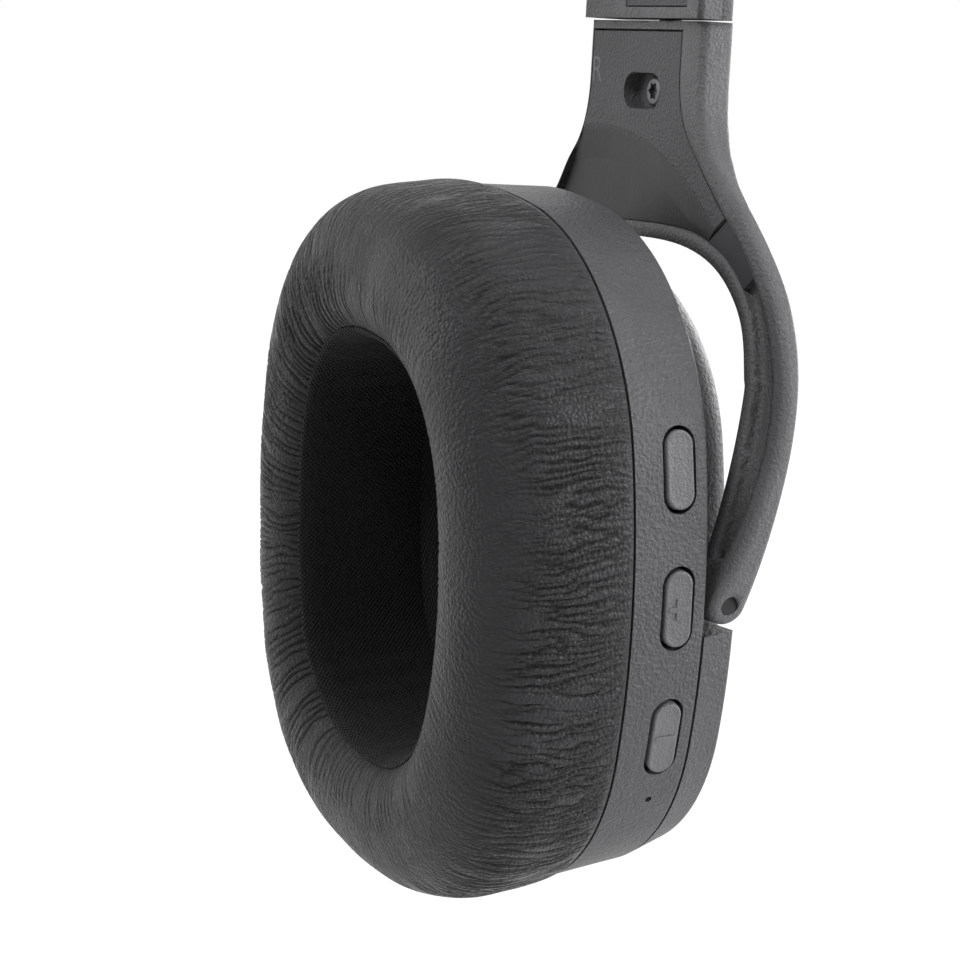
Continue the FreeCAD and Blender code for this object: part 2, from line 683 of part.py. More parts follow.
def make_driver(side):
    """Loudspeaker: flange, basket and magnet turned about the cup's axis."""
    body = new_body("driver_body_" + side.name)
    sketch = new_sketch(body, "section", "XY_Plane")
    front = (d.ledge_depth + 0.02).value
    flange = front + d.driver_flange.value
    basket = flange + d.basket_depth.value
    back = basket + d.magnet_depth.value
    add_polygon(sketch, [(front, 0), (front, d.driver_radius), (flange, d.driver_radius),
                         (flange, d.basket_radius), (basket, d.basket_radius - 2), (basket, d.magnet_radius),
                         (back, d.magnet_radius), (back, 0)])
    turn = body.newObject("PartDesign::Revolution", "turned")
    turn.Profile = sketch
    turn.ReferenceAxis = (sketch, ["H_Axis"])
    turn.Angle = 360
    doc.recompute()
    place_in_cup(body, side)
    return keep(body, side.label("driver"))


def make_cushion_ring(side):
    body = new_body("ring_body_" + side.name)
    sketch = cup_sketch(body, "ring", side, -(d.ring_thickness + d.seat_gap),
                        d.cup_half_width - d.ring_inset, d.cup_half_height - d.ring_inset)
    add_oval(sketch, d.ring_half_width, d.ring_half_height)
    pad(body, "plate", sketch, d.ring_thickness)
    place_in_cup(body, side)
    return keep(body, side.label("cushion_ring"))


def make_cushion(side):
    """Foam ring in its cover, a closed soft solid."""
    body = new_body("cushion_body_" + side.name)
    outer = cup_sketch(body, "outer", side, -d.cushion_depth, d.cushion_half_width, d.cushion_half_height)
    back = d.ring_thickness + d.seat_gap + d.soft_gap
    pad(body, "foam", outer, d.cushion_depth - back)
    inner = cup_sketch(body, "inner", side, -d.cushion_depth, d.opening_half_width, d.opening_half_height)
    pocket(body, "ear_opening", inner, through=True)
    wide = d.opening_half_height.value + 2.0
    fillet(body, "outer_round", d.cushion_round,
           lambda e: at("x", -d.cushion_depth)(e) and e.CenterOfMass.sub(
               Vector(-d.cushion_depth.value, 0, 0)).Length > wide - 1.5)
    fillet(body, "inner_round", d.cushion_inner_round, at("x", -d.cushion_depth))
    fillet(body, "back_round", d.cushion_back_round,
           lambda e: at("x", -back)(e) and e.CenterOfMass.sub(Vector(-back.value, 0, 0)).Length > wide - 1.5)
    place_in_cup(body, side)
    return keep(body, side.label("ear_cushion"))


def make_scrim(side):
    body = new_body("scrim_body_" + side.name)
    front = d.ledge_depth - d.seat_gap - d.baffle_thickness
    sketch = cup_sketch(body, "cloth", side, front - d.soft_gap - d.scrim_thickness,
                        d.ring_half_width - d.soft_gap, d.ring_half_height - d.soft_gap)
    pad(body, "scrim_sheet", sketch, d.scrim_thickness)
    place_in_cup(body, side)
    return keep(body, side.label("ear_scrim"))


def make_button(label, rise):
    """Pill-shaped cap with a retaining flange behind the wall; its local -Y points outwards."""
    body = new_body(label + "_body")
    under = d.cup_wall + 0.5
    cap = new_sketch(body, "cap", "XZ_Plane", -under)
    add_slot(cap, d.button_width, d.button_length)
    pad(body, "cap_block", cap, under + d.button_proud)
    fillet(body, "cap_edge", d.button_gap, at("y", -d.button_proud))
    back = new_sketch(body, "back", "XZ_Plane", -(under + d.button_flange))
    half_w, half_l = d.button_width / 2, d.button_flange_length / 2
    add_rectangle(back, -half_w, -half_l, half_w, half_l)
    pad(body, "flange_plate", back, d.button_flange)
    place_in_cup(body, RIGHT, rear_frame(rise))
    return keep(body, label)


def make_button_strip():
    """Curved circuit strip behind the buttons, with one snap dome for each and the microphone's seat."""
    strip_out = d.cup_wall + 0.5 + d.button_flange + d.button_travel + d.switch_height + 0.1
    share = d.button_x / d.cup_depth
    half_w = d.cup_half_width - share * d.cup_draft
    half_h = d.cup_half_height - share * d.cup_draft
    body = new_body("strip_body")
    low = 3.2
    sketch = cup_sketch(body, "strip", RIGHT, low, half_w - strip_out, half_h - strip_out)
    inner = strip_out + d.strip_thickness
    add_oval(sketch, half_w - inner, half_h - inner)
    pad(body, "full_strip", sketch, d.cup_depth - d.rim_step - d.cup_floor - d.seat_gap - low)
    trim = new_sketch(body, "trim", "YZ_Plane", 0.0, turn=pitch(RIGHT))
    reach = (d.cup_half_height + 10).value
    top = d.button_pitch.value + d.button_length.value / 2
    low_end = MIC_RISE - 2 * d.mic_radius.value
    add_polygon(trim, [(0, low_end), (-reach, low_end), (-reach, -reach - 10), (reach, -reach - 10),
                       (reach, reach + 10), (-reach, reach + 10), (-reach, top), (0, top)])
    pocket(body, "ends", trim, 20.0)
    solids = [body]
    for name, step_no in BUTTON_RISES.items():
        dome = cylinder(name + "_dome", d.switch_radius, d.switch_height + 0.3)
        frame = rear_frame(step_no * d.button_pitch.value, strip_out.value + 0.3)
        dome.Placement = frame.multiply(Placement(Vector(), Rotation(AXIS_Z, Vector(0, -1, 0))))
        solids.append(dome)
    whole = doc.addObject("Part::MultiFuse", "button_strip")
    whole.Shapes = solids
    doc.recompute()
    place_in_cup(whole, RIGHT)
    keep(whole, "button_board")
    mic = cylinder("mic_can", d.mic_radius, d.mic_depth)
    frame = rear_frame(MIC_RISE, strip_out.value - d.seat_gap.value, d.mic_x.value)
    place_in_cup(mic, RIGHT, frame.multiply(Placement(Vector(), Rotation(AXIS_Z, Vector(0, -1, 0)))))
    keep(mic, "microphone")


def socket_barrel_radius():
    return d.audio_bore_radius + d.socket_wall


def make_sockets():
    """Audio and charging sockets on the rear of the left cup."""
    mouth = d.cup_half_width - d.audio_inset
    jack = new_body("jack_body")
    ring = new_sketch(jack, "barrel", "XZ_Plane", -mouth)
    add_circle(ring, socket_barrel_radius(), d.socket_x, -d.audio_drop)
    pad(jack, "barrel_block", ring, d.audio_bore_length + 1.5)
    bore = new_sketch(jack, "bore", "XZ_Plane", -mouth)
    add_circle(bore, d.audio_bore_radius, d.socket_x, -d.audio_drop)
    pocket(jack, "plug_bore", bore, d.audio_bore_length)
    place_in_cup(jack, LEFT)
    keep(jack, "audio_socket")
    mouth = d.cup_half_width - d.charge_inset
    port = new_body("port_body")
    wall = new_sketch(port, "shell", "XZ_Plane", -mouth)
    add_slot(wall, d.charge_height + 2 * d.socket_wall, d.charge_width + 2 * d.socket_wall,
             d.socket_x, d.charge_rise)
    pad(port, "shell_block", wall, d.charge_depth + d.socket_wall)
    mouth_sketch = new_sketch(port, "mouth", "XZ_Plane", -mouth)
    add_slot(mouth_sketch, d.charge_height, d.charge_width, d.socket_x, d.charge_rise)
    pocket(port, "plug_space", mouth_sketch, d.charge_depth)
    tongue = new_sketch(port, "tongue", "XZ_Plane", -(mouth - d.charge_depth - 0.1))
    half_t, half_l = d.charge_height / 8, d.charge_width / 3
    add_rectangle(tongue, d.socket_x - half_t, d.charge_rise - half_l, d.socket_x + half_t,
                  d.charge_rise + half_l)
    pad(port, "tongue_block", tongue, d.charge_depth - 1.5, along=False)
    place_in_cup(port, LEFT)
    keep(port, "charge_socket")


def make_electronics():
    """Battery in the left cup and circuit board in the right, both against the inside of the cover."""
    ceiling = d.dome_top - d.dome_wall - 0.2
    cell = new_body("cell_body")
    face = new_sketch(cell, "face", "YZ_Plane", ceiling - d.battery_thickness)
    half = d.battery_width / 2
    lift = 10.5
    add_rectangle(face, -half, Size.of(lift), half, d.battery_height + lift)
    pad(cell, "cell", face, d.battery_thickness)
    fillet(cell, "cell_edges", d.rim_round, lambda e: e.BoundBox.XLength > d.battery_thickness.value - 0.1)
    place_in_cup(cell, LEFT)
    keep(cell, "battery")
    board = new_body("board_body")
    face = new_sketch(board, "outline", "YZ_Plane", ceiling - d.board_thickness)
    half_w, half_h = d.board_width / 2, d.board_height / 2
    add_rectangle(face, -half_w, -half_h, half_w, half_h)
    pad(board, "laminate", face, d.board_thickness)
    chips = new_sketch(board, "chips", "YZ_Plane", ceiling - d.board_thickness - 1.0)
    for y, z, size in ((-8, 4, 7), (7, 6, 5), (3, -8, 6), (-12, -9, 4)):
        add_polygon(chips, [(y, z), (y + size, z), (y + size, z + size), (y, z + size)])
    pad(board, "chip_blocks", chips, 1.0)
    place_in_cup(board, RIGHT)
    keep(board, "main_board")


# ---------------------------------------------------------------------------------------------
# Yoke
# ---------------------------------------------------------------------------------------------
FORK_POWER, WINDOW_POWER = 1.9, 3.0


def egg(half_width, centre, rise, drop, power, inset, start, end, count):
    """Points on an egg-shaped superellipse from one angle to another, inset from its edge."""
    points = []
    for i in range(count):
        angle = math.radians(start + (end - start) * i / (count - 1))
        c, s = math.cos(angle), math.sin(angle)
        height = rise if s > 0 else drop
        y = (half_width - inset) * math.copysign(abs(c) ** (2 / power), c)
        z = centre + (height - inset) * math.copysign(abs(s) ** (2 / power), s)
        points.append((y, z))
    return points


def angle_at(level, centre, height, power):
    """Angle of the egg's formula at a given level."""
    share = abs(level - centre) / height
    angle = math.degrees(math.asin(share ** (power / 2)))
    return angle if level > centre else -angle


def fork_side(arm_inset, stem_inset, bottom, forward):
    """Outside line of one arm from its end up to the stem, inset from the edge of arm and stem.

    forward is +1 for the arm at the wearer's front and -1 for the one at the rear.
    """
    start = angle_at(bottom, d.fork_centre.value, d.fork_drop.value - arm_inset, FORK_POWER)
    arm = egg(d.fork_half_width.value, d.fork_centre.value, d.fork_rise.value, d.fork_drop.value,
              FORK_POWER, arm_inset, start, 52.0, 9)
    stem = d.stem_half_width.value + forward * d.stem_shift.value - stem_inset
    level = d.neck_z.value + 0.3 * stem_inset
    radius = d.neck_radius.value
    neck = [(stem + radius * (1 - math.cos(math.radians(a))), level - radius * math.sin(math.radians(a)))
            for a in (50, 36, 20, 0)]
    return arm + neck + [(stem, level + 2.0), (stem, level + 4.0)]


def add_fork(sketch, side, front, rear, bottom, top):
    """Closed outline of stem and fork; front and rear are the (arm, stem) insets on those sides."""
    ahead, behind = fork_side(*front, bottom, 1), fork_side(*rear, bottom, -1)
    right, left = (ahead, behind) if side.rear < 0 else (behind, ahead)
    left = [(-y, z) for y, z in reversed(left)]
    right_top, left_top = (right[-1][0], top), (left[0][0], top)
    sketch.addGeometry(spline(right))
    sketch.addGeometry(line(right[-1], right_top))
    sketch.addGeometry(line(right_top, left_top))
    sketch.addGeometry(line(left_top, left[0]))
    sketch.addGeometry(spline(left))
    sketch.addGeometry(line(left[-1], right[0]))


def lips(gap=0.0):
    """The (arm, stem) insets of the channel: narrow at the front, wide at the rear."""
    return ((d.front_lip.value + gap, d.front_lip.value + gap), (d.lip.value + gap, d.stem_lip.value + gap))


def add_window(sketch, outset, bottom):
    """Round-headed window between the arms."""
    arc = egg(d.window_half_width.value, d.window_centre.value, d.window_rise.value, 1.0, WINDOW_POWER,
              -outset, 0.0, 180.0, 15)
    sketch.addGeometry(spline(arc, (0, 1), (0, -1)))
    sketch.addGeometry(line(arc[-1], (arc[-1][0], bottom)))
    sketch.addGeometry(line((arc[-1][0], bottom), (arc[0][0], bottom)))
    sketch.addGeometry(line((arc[0][0], bottom), arc[0]))


def inner_face(shift=0.0):
    """Arc of the arm's face towards the head: upright at the knee, tangent to the round eye."""
    gap, rise = (d.stem_inner - d.pivot_x).value, (d.knee_z - d.pivot_z).value
    eye = d.eye_radius.value
    radius = (gap ** 2 + rise ** 2 - eye ** 2) / (2 * (gap + eye))
    middle = Vector(d.stem_inner.value - radius + shift, d.knee_z.value, 0)
    return Part.ArcOfCircle(Part.Circle(middle, AXIS_Z, radius), math.atan2(-rise, radius - gap), 0)


def add_side_profile(sketch):
    """Side view of the yoke: round eye at the pivot, arms that lean out, upright stem."""
    eye, radius = Vector(d.pivot_x.value, d.pivot_z.value, 0), d.eye_radius.value
    back, top = d.stem_inner.value + d.stem_thickness.value, d.stem_top.value
    bend = d.shoulder_radius.value
    middle = Vector(back - bend, d.shoulder_z.value, 0)
    across = middle - eye
    lean = math.atan2(across.y, across.x) - math.acos((radius - bend) / across.Length)
    outwards = Vector(math.cos(lean), math.sin(lean), 0)
    inner = inner_face()
    low_in = inner.StartPoint
    start = math.atan2(low_in.y - eye.y, low_in.x - eye.x) % (2 * math.pi)
    sketch.addGeometry(Part.ArcOfCircle(Part.Circle(eye, AXIS_Z, radius), start, lean + 2 * math.pi))
    sketch.addGeometry(Part.LineSegment(eye + outwards * radius, middle + outwards * bend))
    sketch.addGeometry(Part.ArcOfCircle(Part.Circle(middle, AXIS_Z, bend), lean, 0))
    knee = (d.stem_inner.value, d.knee_z.value)
    sketch.addGeometry(line((back, middle.y), (back, top)))
    sketch.addGeometry(line((back, top), (knee[0], top)))
    sketch.addGeometry(line((knee[0], top), knee))
    sketch.addGeometry(inner)


def make_yoke(side):
    """Fork with a stem: front outline cut to the side profile, with a channel along each arm."""
    bottom = d.pivot_z.value - d.eye_radius.value
    body = new_body("fork_" + side.name)
    front = new_sketch(body, "front", "YZ_Plane", d.stem_inner - 12.0)
    add_fork(front, side, (0.0, 0.0), (0.0, 0.0), bottom, d.stem_top.value)
    pad(body, "front_block", front, d.stem_thickness + 14.0)
    trim = new_sketch(body, "side_view", "XZ_Plane")
    add_polygon(trim, [(-20, -60), (90, -60), (90, 140), (-20, 140)])
    add_side_profile(trim)
    pocket(body, "side_cut", trim, 200.0, symmetric=True)
    window = new_sketch(body, "window", "YZ_Plane", 0.0)
    add_window(window, 0.0, bottom - 5.0)
    pocket(body, "window_cut", window, 60.0)
    fillet(body, "outer_edges", d.arm_round, long_outer_edges)
    eyes = new_sketch(body, "eyes", "XZ_Plane")
    add_circle(eyes, d.pin_radius + d.pin_clearance, d.pivot_x, d.pivot_z)
    pocket(body, "eye_holes", eyes, 200.0, symmetric=True)
    socket = new_sketch(body, "post_socket", "XY_Plane", d.stem_top)
    add_circle(socket, d.post_radius + 0.02, d.post_x, 0.0)
    pocket(body, "post_bore", socket, d.post_foot + 0.3, along=False)
    well = new_sketch(body, "screw_well", "YZ_Plane", d.stem_inner)
    add_well(well, side, (d.well_wall + d.seat_gap).value)
    well_depth = d.screw_well + d.well_floor + d.seat_gap
    pocket(body, "cover_well", well, well_depth)
    hole = new_sketch(body, "screw_hole", "YZ_Plane", d.stem_inner)
    add_circle(hole, d.screw_radius + 0.02, 0.0, d.screw_z)
    pocket(body, "screw_bore", hole, d.stem_thickness - 0.8)
    tool = channel_tool(side)
    cut = doc.addObject("Part::Cut", "yoke_" + side.name)
    cut.Base, cut.Tool = body, tool
    doc.recompute()
    place_on_side(cut, side)
    return keep(cut, side.label("yoke_frame"))


def long_outer_edges(edge):
    """The long edges of the arms and stem on the side away from the head."""
    mid = edge.valueAt((edge.FirstParameter + edge.LastParameter) / 2)
    if edge.BoundBox.ZLength < 2.0 or abs(mid.y) < 2.0 or mid.z < d.pivot_z.value:
        return False
    if abs(abs(mid.y) - d.window_half_width.value) < 0.2:
        return False
    share = (mid.z - d.pivot_z.value) / (d.knee_z.value - d.pivot_z.value)
    middle = d.pivot_x.value + min(max(share, 0), 1) * (d.stem_inner.value - d.pivot_x.value) + 1.5
    return mid.x > middle


def channel_tool(side):
    """The recess in the side towards the head: the arms' channels and the yoke cover's seat."""
    prism = new_body("channel_front_" + side.name)
    ring = new_sketch(prism, "ring", "YZ_Plane", 0.0)
    low = d.pivot_z.value + d.eye_radius.value + 3.0
    add_fork(ring, side, *lips(), low, d.stem_top.value - 1.2)
    pad(prism, "ring_block", ring, 60.0)
    window = new_sketch(prism, "window", "YZ_Plane", 0.0)
    add_window(window, d.flange.value, low - 5.0)
    pocket(prism, "window_cut", window, 60.0)
    depth = new_body("channel_side_" + side.name)
    view = new_sketch(depth, "side_view", "XZ_Plane")
    floor = d.stem_inner.value + d.channel_depth.value
    arc = inner_face(d.channel_depth.value)
    start = (arc.StartPoint.x, arc.StartPoint.y)
    view.addGeometry(arc)
    outline = [(floor, d.knee_z.value), (floor, 140), (-20, 140), (-20, start[1]), start]
    for one, other in zip(outline, outline[1:]):
        view.addGeometry(line(one, other))
    pad(depth, "side_block", view, 200.0, symmetric=True)
    tool = doc.addObject("Part::Common", "channel_" + side.name)
    tool.Base, tool.Tool = prism, depth
    doc.recompute()
    return tool


def end_line(level, y):
    """Height of a slanting end line at a distance from the middle."""
    return level + d.end_slope.value * y


def make_yoke_cover(side):
    """Cover plate on the side towards the head, with short wings, a dished shoulder and a screw well."""
    body = new_body("cover_plate_" + side.name)
    gap = d.soft_gap.value
    face = new_sketch(body, "outline", "YZ_Plane", d.stem_inner)
    add_fork(face, side, *lips(gap), d.fork_centre.value + 2.0, d.stem_top.value - 1.2 - gap)
    pad(body, "plate", face, d.channel_depth - d.seat_gap)
    boss = new_sketch(body, "well_outside", "YZ_Plane", d.stem_inner)
    add_well(boss, side, d.well_wall.value)
    pad(body, "well_block", boss, d.screw_well + d.well_floor)
    window = new_sketch(body, "window", "YZ_Plane", 0.0)
    add_window(window, (d.flange + d.seat_gap).value, -20.0)
    pocket(body, "window_cut", window, 60.0)
    ends = new_sketch(body, "wing_ends", "YZ_Plane", 0.0)
    level, reach = d.cover_end_z.value, d.fork_half_width.value + 5
    for sign in (1, -1):
        add_polygon(ends, [(sign * 8, end_line(level, 8)), (sign * reach, end_line(level, reach)),
                           (sign * reach, -30), (sign * 8, -30)])
    pocket(body, "wing_cut", ends, 60.0)
    recess = new_sketch(body, "screw_recess", "YZ_Plane", d.stem_inner)
    add_well(recess, side, 0.0)
    pocket(body, "screw_room", recess, d.screw_well)
    hole = new_sketch(body, "screw_hole", "YZ_Plane", d.stem_inner)
    add_circle(hole, d.screw_radius + 0.05, 0.0, d.screw_z)
    pocket(body, "screw_bore", hole, 10.0)
    dish = doc.addObject("Part::Cone", "flare_dish_" + side.name)
    grade = d.flare_run / d.flare_depth
    for prop, size in (("Radius1", d.flare_radius + grade), ("Radius2", d.flare_radius - d.flare_run),
                       ("Height", d.flare_depth + 1.0)):
        setattr(dish, prop, size.value)
        dish.setExpression(prop, size.text)
    spot = Vector(d.stem_inner.value - 1.0, -side.rear * d.flare_y.value, d.flare_z.value)
    dish.Placement = Placement(spot, Rotation(AXIS_Z, AXIS_X))
    plate = doc.addObject("Part::Cut", "yoke_plate_" + side.name)
    plate.Base, plate.Tool = body, dish
    doc.recompute()
    place_on_side(plate, side)
    return keep(plate, side.label("yoke_cover"))


def make_cable_covers(side):
    """Two short plates that close the upper part of the arms' channels."""
    body = new_body("filler_" + side.name)
    gap = d.soft_gap.value
    face = new_sketch(body, "outline", "YZ_Plane", d.stem_inner + d.filler_recess)
    add_fork(face, side, *lips(gap), d.fork_centre.value + 2.0, d.stem_top.value - 1.2 - gap)
    pad(body, "plate", face, d.channel_depth - d.seat_gap - d.filler_recess)
    window = new_sketch(body, "window", "YZ_Plane", 0.0)
    add_window(window, (d.flange + d.seat_gap).value, -20.0)
    pocket(body, "window_cut", window, 60.0)
    ends = new_sketch(body, "ends", "YZ_Plane", 0.0)
    upper, lower = d.cover_end_z.value - 0.4, d.filler_end_z.value
    reach = d.fork_half_width.value + 5
    add_polygon(ends, [(0, end_line(upper, 0)), (reach, end_line(upper, reach)), (reach, 120), (-reach, 120),
                       (-reach, end_line(upper, reach))])
    for sign in (1, -1):
        add_polygon(ends, [(sign * 15, end_line(lower, 15)), (sign * reach, end_line(lower, reach)),
                           (sign * reach, -30), (sign * 15, -30)])
    pocket(body, "end_cut", ends, 60.0)
    place_on_side(body, side)
    return keep(body, side.label("cable_covers"))


def add_well(sketch, side, wall):
    """Outline of the screw's well at a wall's distance: a slot with round ends across the stem."""
    r = d.screw_recess_width.value / 2 + wall
    reach = (d.screw_recess_length - d.screw_recess_width).value / 2
    middle, level = -side.rear * d.stem_shift.value, d.screw_z.value
    right = Part.Circle(Vector(middle + reach, level, 0), AXIS_Z, r)
    left = Part.Circle(Vector(middle - reach, level, 0), AXIS_Z, r)
    sketch.addGeometry(Part.ArcOfCircle(right, -math.pi / 2, math.pi / 2))
    sketch.addGeometry(line((middle + reach, level + r), (middle - reach, level + r)))
    sketch.addGeometry(Part.ArcOfCircle(left, math.pi / 2, 3 * math.pi / 2))
    sketch.addGeometry(line((middle - reach, level - r), (middle + reach, level - r)))


def make_yoke_screw(side):
    """Pan-head screw at the bottom of the cover's well, driven into the stem."""
    body = new_body("screw_body_" + side.name)
    seat = d.stem_inner + d.screw_well - 0.02
    head = new_sketch(body, "head", "YZ_Plane", seat - d.screw_head_thickness)
    add_circle(head, d.screw_head_radius, 0.0, d.screw_z)
    pad(body, "head_disc", head, d.screw_head_thickness)
    fillet(body, "head_round", d.screw_head_thickness / 3, at("x", seat - d.screw_head_thickness))
    shank = new_sketch(body, "shank", "YZ_Plane", seat - d.screw_head_thickness / 2)
    add_circle(shank, d.screw_radius, 0.0, d.screw_z)
    pad(body, "shank_rod", shank, d.stem_thickness - 0.9 - d.screw_well + d.screw_head_thickness / 2)
    place_on_side(body, side)
    return keep(body, side.label("yoke_screw"))


# ---------------------------------------------------------------------------------------------
# Swivel and slider
# ---------------------------------------------------------------------------------------------
def block_bottom():
    return d.stem_top + d.swivel_gap


def make_post(side):
    """Swivel post: pressed into the stem, turns in the slider block, headed at the top."""
    body = new_body("post_body_" + side.name)
    foot = d.stem_top - d.post_foot
    rod = new_sketch(body, "rod", "XY_Plane", foot)
    add_circle(rod, d.post_radius, d.post_x, 0.0)
    top = d.slide_bottom - d.post_end
    pad(body, "rod_block", rod, top - foot)
    head = new_sketch(body, "head", "XY_Plane", top - 1.6)
    add_circle(head, d.post_head_radius, d.post_x, 0.0)
    pad(body, "head_disc", head, Size.of(1.6))
    washer = new_sketch(body, "washer", "XY_Plane", d.stem_top + 0.1)
    add_circle(washer, d.post_head_radius, d.post_x, 0.0)
    pad(body, "washer_disc", washer, d.swivel_gap - 0.2)
    place_on_side(body, side)
    return keep(body, side.label("swivel_post"))


def make_block(side):
    """Slider block: outer shell with a bore for the post, a slot for the slider and a recess."""
    body = new_body("block_body_" + side.name)
    low = block_bottom()
    half, middle = d.stem_half_width + d.block_margin, -side.rear * d.stem_shift
    inner, outer = d.stem_inner - d.block_step, d.stem_inner + d.stem_thickness + d.block_margin
    plan = new_sketch(body, "plan", "XY_Plane", low)
    add_rectangle(plan, inner, middle - half, outer, middle + half)
    pad(body, "block", plan, d.block_height)
    fillet(body, "upright_edges", d.block_round,
           lambda e: e.BoundBox.ZLength > d.block_height.value - 0.1 and e.BoundBox.XMin > outer.value - 0.1)
    fillet(body, "inner_edges", d.rim_round,
           lambda e: e.BoundBox.ZLength > d.block_height.value - 0.1 and e.BoundBox.XMax < inner.value + 0.1)
    bore = new_sketch(body, "bore", "XY_Plane", low)
    add_circle(bore, d.post_radius + d.post_clearance, d.post_x, 0.0)
    pocket(body, "post_bore", bore, d.block_height)
    room = new_sketch(body, "head_room", "XY_Plane", d.slide_bottom - 2.8)
    add_circle(room, d.post_head_radius + 0.1, d.post_x, 0.0)
    pocket(body, "head_pocket", room, Size.of(2.0))
    slot = new_sketch(body, "slot", "XY_Plane", d.slide_bottom - 0.1)
    thick, wide = d.slide_thickness / 2 + 0.05, d.slide_width / 2 + 0.05
    add_rectangle(slot, d.slide_x - thick, -wide, d.slide_x + thick, wide)
    pocket(body, "slider_slot", slot, 20.0)
    recess = new_sketch(body, "recess", "YZ_Plane", inner)
    middle = side.rear * d.panel_shift
    add_rectangle(recess, middle - d.panel_half_width, low + 1.0, middle + d.panel_half_width,
                  low + d.block_height - 2.0)
    pocket(body, "panel_recess", recess, d.panel_depth)
    place_on_side(body, side)
    return keep(body, side.label("slider_block"))


def make_panel(side):
    """Inset panel on the side of the slider block towards the head."""
    body = new_body("panel_body_" + side.name)
    low = block_bottom()
    half = d.panel_half_width - 0.2
    face = new_sketch(body, "face", "YZ_Plane", d.stem_inner - d.block_step + 0.1)
    middle = side.rear * d.panel_shift
    add_rectangle(face, middle - half, low + 1.2, middle + half, low + d.block_height - 2.2)
    pad(body, "plate", face, d.panel_depth - 0.2)
    place_on_side(body, side)
    return keep(body, side.label("slider_panel"))


def make_slider(side):
    """Flat steel slider with a row of detent notches."""
    body = new_body("slider_body_" + side.name)
    plan = new_sketch(body, "plan", "XY_Plane", d.slide_bottom)
    thick, wide = d.slide_thickness / 2, d.slide_width / 2
    add_rectangle(plan, d.slide_x - thick, -wide, d.slide_x + thick, wide)
    pad(body, "strip", plan, d.slide_top - d.slide_bottom)
    fillet(body, "top_corners", d.edge_round * 2,
           lambda e: at("z", d.slide_top)(e) and e.BoundBox.XLength > d.slide_thickness.value - 0.1)
    notches = new_sketch(body, "notches", "YZ_Plane", 0.0)
    first, pitch_z = d.slide_bottom.value + 7.0, 3.0
    for i in range(6):
        add_circle(notches, 0.6, wide, Size.of(first + i * pitch_z))
    pocket(body, "detents", notches, 60.0)
    place_on_side(body, side)
    return keep(body, side.label("slider"))


# ---------------------------------------------------------------------------------------------
# Headband
# ---------------------------------------------------------------------------------------------
def band_bottom():
    return block_bottom() + d.block_height + d.slide_shown


def band_arcs(offset, start):
    """Right half of the band's line at an offset outwards: side arc from start degrees, then top arc.

    Returns (centre, radius, first angle, last angle) in the XZ plane for each arc.
    """
    half = (d.ear_offset + d.band_x).value
    level = (band_bottom() + d.band_straight).value
    radius, turn = d.band_side_radius.value, math.radians(d.band_side_turn.value)
    side_c = (half - radius, level)
    run = half - radius + radius * math.cos(turn)
    top_r = run / math.cos(turn)
    top_c = (0.0, level + radius * math.sin(turn) - top_r * math.sin(turn))
    return [(side_c, radius + offset, math.radians(start), turn), (top_c, top_r + offset, turn, math.pi / 2)]


def add_band(sketch, low, high, start):
    """Closed section of one layer of the band between two offsets from its middle line."""
    for offset in (low, high):
        (side_c, side_r, begin, turn), (top_c, top_r, _, _) = band_arcs(offset, start)
        left_c = Vector(-side_c[0], side_c[1], 0)
        sketch.addGeometry(Part.ArcOfCircle(Part.Circle(Vector(*side_c, 0), AXIS_Z, side_r), begin, turn))
        sketch.addGeometry(Part.ArcOfCircle(Part.Circle(Vector(*top_c, 0), AXIS_Z, top_r), turn, math.pi - turn))
        sketch.addGeometry(Part.ArcOfCircle(Part.Circle(left_c, AXIS_Z, side_r), math.pi - turn, math.pi - begin))
    inner, outer = band_arcs(low, start)[0], band_arcs(high, start)[0]
    for sign in (1, -1):
        ends = [(sign * (c[0] + r * math.cos(a)), c[1] + r * math.sin(a)) for c, r, a, _ in (inner, outer)]
        sketch.addGeometry(line(*ends))


def make_band_layer(label, low, high, width, start, edge=None):
    """One layer of the headband, padded both ways from the middle plane."""
    body = new_body(label + "_body")
    sketch = new_sketch(body, "section", "XZ_Plane")
    add_band(sketch, low.value, high.value, start)
    pad(body, "layer", sketch, width, symmetric=True)
    if edge is not None:
        half = width.value / 2
        fillet(body, "edges", edge[0],
               lambda e: abs(abs(e.CenterOfMass.y) - half) < 0.01 and e.BoundBox.YLength < 0.01
               and e.Curve.TypeId == "Part::GeomCircle" and edge[1](e))
    return body


def cut_slider_room(body, near, far):
    """Room in a layer of the band, on both sides, for the top of the slider at its highest."""
    room = new_sketch(body, "slider_room", "XZ_Plane")
    low, top = band_bottom().value, d.slide_top.value + d.slide_shown.value + 1.0
    for sign in (1, -1):
        add_polygon(room, [(sign * near, low), (sign * far, low), (sign * far, top), (sign * near, top)])
    pocket(body, "slider_pocket", room, d.slide_width + 1.0, symmetric=True)


